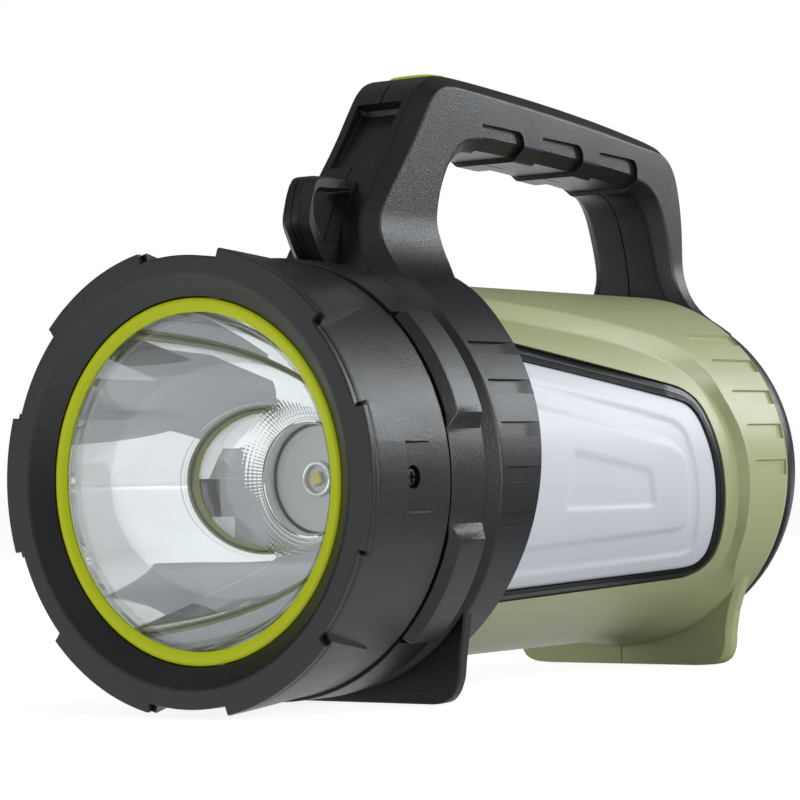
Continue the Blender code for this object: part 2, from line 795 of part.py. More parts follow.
def make_reflector():
    depth = REFLECTOR_NECK_STATION - reflector_front
    inner = []
    for i in range(REFLECTOR_STEPS + 1):
        share = (i / REFLECTOR_STEPS) ** 0.8
        station = reflector_front + depth * share
        inner.append((reflector_radius(station), station))
    outer = []
    for radius, station in inner:
        run = (radius + REFLECTOR_WALL, station)
        if station > reflector_flange_rear + REFLECTOR_WALL:
            outer.append(run)
    collar_rear = REFLECTOR_NECK_STATION + REFLECTOR_COLLAR_LENGTH
    flange_radius = lens_radius
    turned(
        "reflector",
        inner
        + [(REFLECTOR_COLLAR_BORE, REFLECTOR_NECK_STATION), (REFLECTOR_COLLAR_BORE, collar_rear)]
        + [(REFLECTOR_NECK_RADIUS + REFLECTOR_WALL, collar_rear)]
        + outer[::-1]
        + [(reflector_radius(reflector_flange_rear) + REFLECTOR_WALL, reflector_flange_rear)]
        + [(flange_radius, reflector_flange_rear), (flange_radius, reflector_front)],
        "mirror_coating",
        steps=3 * ROUND_STEPS // 4,
    )


def make_light_source():
    turned(
        "led_board",
        [
            (0, led_board_front),
            (LED_BOARD_RADIUS, led_board_front),
            (LED_BOARD_RADIUS, led_board_front + LED_BOARD_THICKNESS),
            (0, led_board_front + LED_BOARD_THICKNESS),
        ],
        "white_board",
        steps=ROUND_STEPS // 2,
    )
    base = led_board_front - GAP
    dome = [(0, base), (LED_DOME_RADIUS, base)]
    for i in range(1, LED_DOME_STEPS):
        angle = i * math.pi / 2 / LED_DOME_STEPS
        dome.append((LED_DOME_RADIUS * math.cos(angle), base - LED_DOME_HEIGHT * math.sin(angle)))
    dome.append((0, base - LED_DOME_HEIGHT))
    turned("led_emitter", dome, "yellow_phosphor", steps=SMALL_ROUND_STEPS)
    turned(
        "bulkhead",
        [
            (LEAD_HOLE_RADIUS, bulkhead_front),
            (hub_bore - GAP, bulkhead_front),
            (hub_bore - GAP, bulkhead_rear),
            (LEAD_HOLE_RADIUS, bulkhead_rear),
        ],
        "aluminium",
    )
    profile = [(LEAD_HOLE_RADIUS, heat_sink_front), (HEAT_SINK_RADIUS, heat_sink_front)]
    for fin in range(HEAT_SINK_FIN_COUNT):
        start = heat_sink_front + fin * HEAT_SINK_FIN_PITCH
        profile.append((HEAT_SINK_RADIUS, start + HEAT_SINK_FIN_THICKNESS))
        if fin < HEAT_SINK_FIN_COUNT - 1:
            profile.append((HEAT_SINK_CORE_RADIUS, start + HEAT_SINK_FIN_THICKNESS))
            profile.append((HEAT_SINK_CORE_RADIUS, start + HEAT_SINK_FIN_PITCH))
            profile.append((HEAT_SINK_RADIUS, start + HEAT_SINK_FIN_PITCH))
    profile.append((LEAD_HOLE_RADIUS, profile[-1][1]))
    turned("heat_sink", profile, "aluminium", steps=ROUND_STEPS // 2)


def facing(centre, direction):
    """A place at a point in lamp coordinates with its Y axis along a direction."""
    turn = Vector((0, 1, 0)).rotation_difference(Vector(direction)).to_matrix().to_4x4()
    return Matrix.Translation(lamp_point(*centre)) @ turn


def screw(name, centre, direction, head_radius, head_height, shank_radius, shank_length):
    """A pan-head screw, head seat at centre, its shank along the direction, with a cross recess."""
    place = facing(centre, direction)
    made = turned(
        name,
        [
            (0, -head_height),
            (head_radius * HEAD_CROWN_SHARE, -head_height),
            (head_radius, -head_height * HEAD_SIDE_SHARE),
            (head_radius, 0),
            (shank_radius, 0),
            (shank_radius, shank_length),
            (0, shank_length),
        ],
        "plated_steel",
        SMALL_ROUND_STEPS,
        place,
    )
    for number, size in enumerate(((CROSS_LENGTH, CROSS_WIDTH), (CROSS_WIDTH, CROSS_LENGTH)), 1):
        slot = bmesh.new()
        bmesh.ops.create_cube(slot, size=1)
        bmesh.ops.scale(slot, vec=(size[0], 2 * CROSS_DEPTH, size[1]), verts=slot.verts)
        bmesh.ops.translate(slot, vec=(0, -head_height, 0), verts=slot.verts)
        bmesh.ops.transform(slot, matrix=place, verts=slot.verts)
        cut(made, mesh_object(f"{name}_cross_{number}", slot))
    return made


def make_barrel():
    ledge_front = reflector_flange_rear + GAP
    ledge_rear = ledge_front + BARREL_LEDGE_DEPTH
    seat_radius = lens_radius + GAP
    sleeve_bore = bezel_sleeve_radius + GAP
    barrel = turned(
        "head_barrel",
        [
            (barrel_radius, barrel_front),
            (barrel_radius, barrel_rear),
            (barrel_bore, barrel_rear),
            (barrel_bore, ledge_rear),
            (seat_radius - BARREL_LEDGE_WIDTH, ledge_rear),
            (seat_radius - BARREL_LEDGE_WIDTH, ledge_front),
            (seat_radius, ledge_front),
            (seat_radius, lens_front),
            (sleeve_bore, lens_front),
            (sleeve_bore, barrel_front),
        ],
        "graphite_plastic",
    )
    pad_root = barrel_radius - BARREL_WALL / 2
    for number in range(LUG_COUNT):
        middle = number * math.tau / LUG_COUNT
        sections = []
        for step in range(PAD_STEPS + 1):
            across = 2 * step / PAD_STEPS - 1
            wide = middle + across * LUG_HALF_ANGLE
            slim = middle + across * PAD_TIP_HALF_ANGLE
            sections.append(
                [
                    polar_point(pad_root, barrel_front, wide),
                    polar_point(HEAD_RADIUS, barrel_front, wide),
                    polar_point(barrel_radius - PAD_TIP_SINK, barrel_front + PAD_LENGTH, slim),
                    polar_point(pad_root, barrel_front + PAD_LENGTH, slim),
                ]
            )
        join(barrel, loft(f"barrel_pad_{number}", sections))
    head_seat = barrel_radius - NOTCH_DEPTH - SIDE_SCREW_HEAD_HEIGHT
    hole_radius = SIDE_SCREW_SHANK_RADIUS + GAP
    for side, middle in ((1, 0), (-1, math.pi)):
        notch = arc_block(
            f"barrel_notch_{side}",
            (
                (barrel_radius - NOTCH_DEPTH, NOTCH_START),
                (HEAD_RADIUS + OVERRUN, NOTCH_START),
                (HEAD_RADIUS + OVERRUN, barrel_rear + OVERRUN),
                (barrel_radius - NOTCH_DEPTH, barrel_rear + OVERRUN),
            ),
            middle - NOTCH_HALF_ANGLE,
            middle + NOTCH_HALF_ANGLE,
            4,
        )
        outward = (side, 0, 0)
        seat = cylinder(
            f"side_screw_seat_{side}",
            (side * (head_seat - GAP), SIDE_SCREW_STATION, 0),
            outward,
            SIDE_SCREW_HEAD_RADIUS + GAP,
            SIDE_SCREW_HEAD_HEIGHT + OVERRUN,
        )
        hole = cylinder(
            f"side_screw_hole_{side}",
            (side * (hub_bore - OVERRUN), SIDE_SCREW_STATION, 0),
            outward,
            hole_radius,
            HEAD_RADIUS - hub_bore + 2 * OVERRUN,
        )
        cut(barrel, notch, seat, hole)
        name = "side_screw_right" if side > 0 else "side_screw_left"
        screw(
            name,
            (side * head_seat, SIDE_SCREW_STATION, 0),
            (-side, 0, 0),
            SIDE_SCREW_HEAD_RADIUS,
            SIDE_SCREW_HEAD_HEIGHT,
            SIDE_SCREW_SHANK_RADIUS,
            SIDE_SCREW_LENGTH,
        )


def make_bumpers():
    """The raised band on each side of the hub, with a bevelled notch level with the side screw."""
    bumper_rear = bumper_front + BUMPER_LENGTH
    notch_inner = BUMPER_NOTCH_HALF_ANGLE - BUMPER_BEVEL_ANGLE
    notch_radius = barrel_radius
    notch_steps = 4
    band = BUMPER_HALF_ANGLE - BUMPER_NOTCH_HALF_ANGLE
    low_band = [(-BUMPER_HALF_ANGLE + band * i / 5, bumper_radius) for i in range(6)]
    notch = [
        (-notch_inner + 2 * notch_inner * i / notch_steps, notch_radius) for i in range(notch_steps + 1)
    ]
    high_band = [(BUMPER_NOTCH_HALF_ANGLE + band * i / 5, bumper_radius) for i in range(6)]
    angles = low_band + notch + high_band
    sections = []
    for angle, radius in angles:
        front = hub_front + GAP if radius == notch_radius else bumper_front
        profile = (
            (bumper_inner, front),
            (radius, front),
            (radius, bumper_rear),
            (bumper_inner, bumper_rear),
        )
        sections.append([polar_point(r, station, angle) for r, station in profile])
    right = loft("bumper_form", sections)
    settled(right, "bumper_right", "graphite_plastic")
    settled(right, "bumper_left", "graphite_plastic", mirrored=True)


def ring_rear(rise):
    """Station of the front ring's leaning rear edge at a rise."""
    return ring_front + RING_WIDTH + RING_LEAN_SHARE * rise


def foot_outline(shares):
    """Front view of a foot, both sides of the seam."""
    right = [(x * ring_radius, -down * axis_height) for x, down in shares]
    left = [(-x, rise) for x, rise in reversed(right)]
    return right + left


def make_frame_form():
    """The whole frame before it is split at the seam."""
    sweep = math.radians(96)
    lean_top = ring_rear(ring_radius)
    stock_bore = hub_bore - WALL
    frame = arc_block(
        "frame_form",
        (
            (stock_bore, hub_front - SPIGOT_LENGTH),
            (spigot_radius, hub_front - SPIGOT_LENGTH),
            (spigot_radius, hub_front),
            (hub_radius, hub_front),
            (hub_radius, ring_front),
            (ring_radius - RING_EDGE_BEVEL, ring_front),
            (ring_radius, ring_front + RING_EDGE_BEVEL),
            (ring_radius, lean_top),
            (stock_bore, lean_top),
        ),
        -sweep,
        sweep,
        ROUND_STEPS // 2,
    )
    reach = 2 * ring_radius
    lean = (
        (ring_rear(-reach), -reach),
        (ring_rear(reach), reach),
        (overall_length, reach),
        (overall_length, -reach),
    )
    cut(frame, prism_x("ring_lean", lean, -reach, reach))
    for name, start, end in (
        ("apron_top", BUMPER_HALF_ANGLE + GAP / apron_radius, sweep),
        ("apron_bottom", -sweep, -BUMPER_HALF_ANGLE - GAP / apron_radius),
    ):
        apron = (
            (hub_bore, hub_front),
            (apron_radius, hub_front),
            (apron_radius, ring_front + RING_EDGE_BEVEL),
            (hub_bore, ring_front + RING_EDGE_BEVEL),
        )
        join(frame, arc_block(name, apron, start, end, 7))
    join(frame, loft("handle_form", handle_sections(0, len(HANDLE_SHARES) - 1, 0)))
    foot = foot_outline(FRONT_FOOT_SHARES)
    join(frame, prism_y("front_foot", foot, foot_station, foot_station + FOOT_THICKNESS))
    rim = (
        (lip_bore - WALL, rim_front),
        (rim_radius, rim_front),
        (rim_radius, rim_front + RIM_LENGTH / 3),
        (rim_radius - RIM_TAPER, rim_rear),
        (lip_bore - WALL, rim_rear),
    )
    join(frame, arc_block("rim_form", rim, -sweep, sweep, ROUND_STEPS // 2))
    tab = [handle_point(*share) for share in TAB_SHARES]
    setback = [(station + TAB_NOSE_SETBACK, rise) for station, rise in tab]
    layers = (
        (-TAB_HALF_WIDTH, setback),
        (-TAB_NOSE_HALF_WIDTH, tab),
        (TAB_NOSE_HALF_WIDTH, tab),
        (TAB_HALF_WIDTH, setback),
    )
    join(frame, loft("lanyard_tab", [[lamp_point(x, *spot) for spot in outline] for x, outline in layers]))
    eye = [handle_point(*share) for share in EYE_SHARES]
    cut(frame, prism_x("lanyard_eye", eye, -2 * TAB_HALF_WIDTH, 2 * TAB_HALF_WIDTH))
    cavity_end = CAVITY_SKIP_COUNT + CAVITY_ROW_COUNT - 1
    cavity = loft("handle_cavity", handle_sections(CAVITY_SKIP_COUNT, cavity_end, HANDLE_WALL))
    for number, place in enumerate(case_screw_places(), 1):
        start = (-2 * HANDLE_HALF_WIDTH, *place)
        boss = cylinder(f"case_boss_{number}", start, (1, 0, 0), CASE_BOSS_RADIUS, 4 * HANDLE_HALF_WIDTH)
        cut(cavity, boss)
    shelf = box(
        "switch_shelf",
        (-2 * HANDLE_HALF_WIDTH, button_middle, 0),
        (2 * HANDLE_HALF_WIDTH, button_middle + SWITCH_BOARD_LENGTH / 2, switch_board_low - GAP),
    )
    cut(cavity, shelf)
    cut(frame, cavity)
    interior = [
        (0, hub_front - SPIGOT_LENGTH - OVERRUN),
        (hub_bore, hub_front - SPIGOT_LENGTH - OVERRUN),
        (hub_bore, ring_front + WALL),
        (ring_bore, ring_front + WALL),
        (ring_bore, shell_rear - SHELL_TAPER_LENGTH),
        (rim_radius + GAP, rim_front),
        (lip_bore, rim_front),
        (lip_bore, rim_front + RIM_LIP_DEPTH),
        (rim_bore, rim_front + RIM_LIP_DEPTH),
        (rim_bore, overall_length + OVERRUN),
        (0, overall_length + OVERRUN),
    ]
    cut(frame, turned("frame_interior", interior))
    make_grip_cuts(frame)
    return frame


def make_grip_cuts(frame):
    """Finger notches under the grip, the pocket in the sloping front and the button's slot."""
    for number, (first, last) in enumerate(GRIP_NOTCH_SHARES, 1):
        start = ring_front + first * handle_span
        end = ring_front + last * handle_span
        low = grip_underside(end) - OVERRUN
        top = grip_underside(end) + HANDLE_CHAMFER + GRIP_NOTCH_HEIGHT
        shallow = HANDLE_HALF_WIDTH + GAP
        deep = HANDLE_HALF_WIDTH - GRIP_NOTCH_DEPTH
        far = HANDLE_HALF_WIDTH + OVERRUN
        for side in (-1, 1):
            sections = []
            for station, near in ((start, shallow), (end, deep)):
                corners = ((near, low), (far, low), (far, top), (near, top))
                sections.append([lamp_point(side * x, station, rise) for x, rise in corners])
            cut(frame, loft(f"grip_notch_{number}_{side}", sections))
        step = (
            (start, grip_underside(start) - GAP),
            (end, grip_underside(end) + GRIP_NOTCH_DEPTH),
            (end, low),
            (start, low),
        )
        cut(frame, prism_x(f"grip_step_{number}", step, -2 * HANDLE_HALF_WIDTH, 2 * HANDLE_HALF_WIDTH))
    low_share, high_share = POCKET_SHARES
    foot_of_slope = Vector(handle_point(*HANDLE_SHARES[6][:2]))
    head_of_slope = Vector(handle_point(*HANDLE_SHARES[10][:2]))
    slope = head_of_slope - foot_of_slope
    inward = Vector((slope.y, -slope.x)).normalized()
    low = foot_of_slope + slope * low_share
    high = foot_of_slope + slope * high_share
    pocket = (
        low - inward * OVERRUN,
        low - inward * GAP,
        high - slope.normalized() * POCKET_DEPTH + inward * POCKET_DEPTH,
        high + inward * POCKET_DEPTH,
        high - inward * OVERRUN,
    )
    outline = [(point.x, point.y) for point in pocket]
    cut(frame, prism_x("front_pocket", outline, -POCKET_HALF_WIDTH, POCKET_HALF_WIDTH))
    button_low = HANDLE_RISE - BUTTON_FLANGE_DROP - OVERRUN
    cut(
        frame,
        box(
            "button_slot",
            (-BUTTON_HALF_WIDTH - GAP, button_start - GAP, button_low),
            (BUTTON_HALF_WIDTH + GAP, button_start + BUTTON_LENGTH + GAP, HANDLE_RISE + OVERRUN),
        ),
    )
    for number in range(MARK_COUNT):
        middle = MARK_FIRST_ANGLE + number * MARK_PITCH
        mark_low = ring_front + RING_MARK_LEAD
        mark = arc_block(
            f"ring_mark_{number}",
            (
                (ring_radius - MARK_DEPTH, mark_low),
                (ring_radius + OVERRUN, mark_low),
                (ring_radius + OVERRUN, mark_low + 2 * RING_WIDTH),
                (ring_radius - MARK_DEPTH, mark_low + 2 * RING_WIDTH),
            ),
            middle - MARK_HALF_ANGLE,
            middle + MARK_HALF_ANGLE,
            2,
        )
        cut(frame, mark)


def grip_underside(station):
    """Rise of the grip's lower face at a station."""
    points = [handle_point(row[2], row[3]) for row in HANDLE_SHARES]
    for (start, low), (end, high) in zip(points, points[1:]):
        if start <= station <= end:
            return low + (high - low) * (station - start) / (end - start)
    return points[len(points) // 2][1]


def case_screw_places():
    return [handle_point(*share) for share in CASE_SCREW_SHARES]


def make_frame():
    """Both frame halves, parted at the seam, with the case screws in the left one."""
    form = make_frame_form()
    reach = 4 * HEAD_RADIUS
    half_space = box(
        "seam_right",
        (GAP / 2, -OVERRUN, -reach),
        (reach, overall_length + OVERRUN, reach),
    )
    combine(form, half_space, "INTERSECT")
    right = settled(form, "frame_right", "black_plastic")
    left = settled(form, "frame_left", "black_plastic", mirrored=True)
    head_seat = HANDLE_HALF_WIDTH - CASE_SCREW_SINK - CASE_SCREW_HEAD_HEIGHT
    for number, place in enumerate(case_screw_places(), 1):
        seat = cylinder(
            f"case_screw_seat_{number}",
            (-head_seat + GAP, *place),
            (-1, 0, 0),
            CASE_SCREW_HEAD_RADIUS + GAP,
            HANDLE_HALF_WIDTH,
        )
        hole = cylinder(
            f"case_screw_hole_{number}",
            (-HANDLE_HALF_WIDTH, *place),
            (1, 0, 0),
            CASE_SCREW_SHANK_RADIUS + GAP,
            HANDLE_HALF_WIDTH - head_seat + CASE_SCREW_SHANK_LENGTH + 2 * GAP,
        )
        cut(left, seat, hole)
        screw(
            f"case_screw_{number}",
            (-head_seat, *place),
            (1, 0, 0),
            CASE_SCREW_HEAD_RADIUS,
            CASE_SCREW_HEAD_HEIGHT,
            CASE_SCREW_SHANK_RADIUS,
            CASE_SCREW_SHANK_LENGTH,
        )
        cut(right, hole)
    for side, half in ((1, right), (-1, left)):
        cut(half, bpy.data.objects[f"side_screw_hole_{side}"])


def share_at(table, turn_share):
    """Share along the shell where an edge of the field's bevel crosses an angle."""
    for (start, high), (end, low) in zip(table, table[1:]):
        if low <= turn_share <= high:
            return start + (end - start) * (high - turn_share) / (high - low)
    return table[-1][0]


def shell_row(turn_share, seam_angle):
    """The outside of the body along one angle, from its front to its rear edge."""
    angle = max(-seam_angle, min(seam_angle, turn_share * math.pi / 2))
    outer_edge = share_at(FIELD_OUTER_SHARES, turn_share) * SHELL_LENGTH
    inner_edge = share_at(FIELD_INNER_SHARES, turn_share) * SHELL_LENGTH
    offsets = (
        0,
        max(inner_edge, WALL / 2),
        max(outer_edge, WALL),
        SHELL_LENGTH - SHELL_TAPER_LENGTH,
        SHELL_LENGTH,
    )
    row = []
    for offset in offsets:
        share = min(1, max(0, (offset - inner_edge) / (outer_edge - inner_edge)))
        radius = shell_field_radius + FIELD_SINK * share
        if offset == SHELL_LENGTH:
            radius -= SHELL_REAR_TAPER
        row.append(polar_point(radius, shell_front + offset, angle))
    return row


def make_shell_skin():
    """The right half of the body: an open grid over its outside, thickened inwards."""
    seam_angle = math.pi / 2 - GAP / 2 / inner_radius
    bm = bmesh.new()
    rows = []
    for share in SHELL_ROW_SHARES:
        rows.append([bm.verts.new(point) for point in shell_row(share, seam_angle)])
    for row, following in zip(rows, rows[1:]):
        for i in range(len(row) - 1):
            bm.faces.new((row[i], following[i], following[i + 1], row[i + 1]))
    mesh = bpy.data.meshes.new("shell_form")
    bm.to_mesh(mesh)
    bm.free()
    mesh.shade_smooth()
    mesh.set_sharp_from_angle(angle=SHARP_ANGLE)
    skin = add_object("shell_form", mesh, None)
    wall = skin.modifiers.new("wall", "SOLIDIFY")
    wall.thickness = WALL
    wall.offset = -1
    return skin


def inset(outline, distance):
    """A side-view outline drawn in all round by a distance."""
    area = sum(a[0] * b[1] - b[0] * a[1] for a, b in zip(outline, outline[1:] + outline[:1]))
    turn = 1 if area > 0 else -1
    count = len(outline)
    moved = []
    for i in range(count):
        corner = Vector(outline[i])
        before = (corner - Vector(outline[i - 1])).normalized()
        after = (Vector(outline[(i + 1) % count]) - corner).normalized()
        normal = turn * Vector((-before.y - after.y, before.x + after.x)).normalized()
        lean = normal.dot(turn * Vector((-before.y, before.x)))
        point = corner + normal * (distance / max(lean, 0.4))
        moved.append((point.x, point.y))
    return moved


def window_outline(shares):
    return [(shell_front + along * SHELL_LENGTH, up * shell_radius) for along, up in shares]


def make_shells():
    """Body halves with their window openings, grip marks and halves of the rear foot."""
    form = make_shell_skin()
    foot = prism_y(
        "rear_foot",
        foot_outline(REAR_FOOT_SHARES),
        rear_foot_station,
        rear_foot_station + REAR_FOOT_THICKNESS,
    )
    foot_bore = shell_radius - WALL / 2
    bore = [
        (0, rear_foot_station - OVERRUN),
        (foot_bore, rear_foot_station - OVERRUN),
        (foot_bore, rear_foot_station + REAR_FOOT_THICKNESS + OVERRUN),
        (0, rear_foot_station + REAR_FOOT_THICKNESS + OVERRUN),
    ]
    cut(foot, turned("rear_foot_bore", bore))
    right_side = box(
        "rear_foot_side",
        (GAP / 2, 0, -2 * axis_height),
        (2 * axis_height, overall_length, 0),
    )
    join(form, combine(foot, right_side, "INTERSECT"))
    reach = 2 * shell_radius
    cut(form, prism_x("window_opening", window_outline(TRIM_SHARES), WINDOW_REACH, reach))
    for number in range(MARK_COUNT):
        middle = number * MARK_PITCH
        start = shell_rear - REAR_MARK_LENGTH - number * REAR_MARK_STEP
        mark = (
            (shell_radius - MARK_DEPTH, start),
            (shell_radius + OVERRUN, start),
            (shell_radius + OVERRUN, shell_rear - SHELL_TAPER_LENGTH),
            (shell_radius - MARK_DEPTH, shell_rear - SHELL_TAPER_LENGTH),
        )
        ends = (middle - MARK_HALF_ANGLE, middle + MARK_HALF_ANGLE)
        cut(form, arc_block(f"rear_mark_{number}", mark, *ends, 2))
    settled(form, "shell_right", "sage_plastic")
    settled(form, "shell_left", "sage_plastic", mirrored=True)


def window_sector(name, inner, outer, outline):
    """A curved panel of the window between two radii, with a side-view outline."""
    front = shell_front
    rear = shell_rear
    profile = ((inner, front), (outer, front), (outer, rear), (inner, rear))
    sector = arc_block(name, profile, -WINDOW_HALF_ANGLE, WINDOW_HALF_ANGLE, 14)
    return combine(sector, prism_x(name + "_outline", outline, WINDOW_REACH, 2 * shell_radius), "INTERSECT")


def make_windows():
    """The trim of each lantern window, and the diffuser resting on its inner lip."""
    trim_outer = shell_field_radius - TRIM_SINK
    diffuser_outer = trim_outer - DIFFUSER_SINK
    floor = diffuser_outer - DIFFUSER_THICKNESS - GAP
    window = window_outline(WINDOW_SHARES)
    trim = window_sector("trim_form", trim_inner, trim_outer, inset(window_outline(TRIM_SHARES), GAP))
    cut(trim, window_sector("trim_recess", floor, shell_radius, window))
    cut(trim, prism_x("trim_mouth", inset(window, TRIM_FLANGE_WIDTH), WINDOW_REACH, 2 * shell_radius))
    diffuser = window_sector("diffuser_form", floor + GAP, diffuser_outer, inset(window, GAP))
    for side, mirrored in (("right", False), ("left", True)):
        settled(trim, f"window_trim_{side}", "graphite_plastic", mirrored)
        settled(diffuser, f"window_diffuser_{side}", "opal_plastic", mirrored)


def set_origin(obj, point):
    """Moves a piece's origin to a point of the object's frame without moving the piece."""
    obj.data.transform(Matrix.Translation(obj.location - point))
    obj.location = point


def make_button():
    """The power button with its captive flange and stem, and the switch under it."""
    base = button_base
    shoulder = base + BUTTON_FLANGE_THICKNESS
    front = button_start
    rear = button_start + BUTTON_LENGTH
    sides = [
        (front - BUTTON_FLANGE_OVERHANG, base),
        (rear + BUTTON_FLANGE_OVERHANG, base),
        (rear + BUTTON_FLANGE_OVERHANG, shoulder),
        (rear, shoulder),
    ]
    crown = [
        (rear, HANDLE_RISE - BUTTON_CREST / 5),
        (rear - BUTTON_LENGTH / 6, HANDLE_RISE + 0.5 * BUTTON_CREST),
        (rear - 0.45 * BUTTON_LENGTH, HANDLE_RISE + BUTTON_CREST),
        (front + BUTTON_LENGTH / 4, HANDLE_RISE + 0.9 * BUTTON_CREST),
        (front, HANDLE_RISE + 0.5 * BUTTON_CREST),
    ]
    end = [(front, shoulder), (front - BUTTON_FLANGE_OVERHANG, shoulder)]
    low_crown = [(station, min(rise, HANDLE_RISE) - BUTTON_CREST / 3) for station, rise in crown]
    narrow = BUTTON_HALF_WIDTH - BUTTON_CREST / 2
    layers = (
        (-BUTTON_HALF_WIDTH, sides + low_crown + end),
        (-narrow, sides + crown + end),
        (narrow, sides + crown + end),
        (BUTTON_HALF_WIDTH, sides + low_crown + end),
    )
    body = loft("button_form", [[lamp_point(x, *spot) for spot in outline] for x, outline in layers])
    middle = button_middle
    stem = cylinder(
        "button_stem",
        (0, middle, base - BUTTON_STEM_LENGTH),
        (0, 0, 1),
        BUTTON_STEM_RADIUS,
        BUTTON_STEM_LENGTH + BUTTON_FLANGE_THICKNESS / 2,
    )
    join(body, stem)
    button = settled(body, "power_button", "lime_plastic")
    set_origin(button, lamp_point(0, middle, HANDLE_RISE))
    body_top = switch_body_top
    half = SWITCH_BODY_SIZE / 2
    switch = box(
        "switch_form",
        (-half, middle - half, body_top - SWITCH_BODY_HEIGHT),
        (half, middle + half, body_top),
    )
    tip = cylinder(
        "switch_tip",
        (0, middle, body_top - SWITCH_TIP_HEIGHT),
        (0, 0, 1),
        SWITCH_TIP_RADIUS,
        2 * SWITCH_TIP_HEIGHT,
    )
    settled(join(switch, tip), "tact_switch", "black_plastic")
    box(
        "switch_board",
        (-SWITCH_BOARD_HALF_WIDTH, middle - SWITCH_BOARD_LENGTH / 2, switch_board_low),
        (SWITCH_BOARD_HALF_WIDTH, middle + SWITCH_BOARD_LENGTH / 2, switch_board_top),
        "green_board",
    )


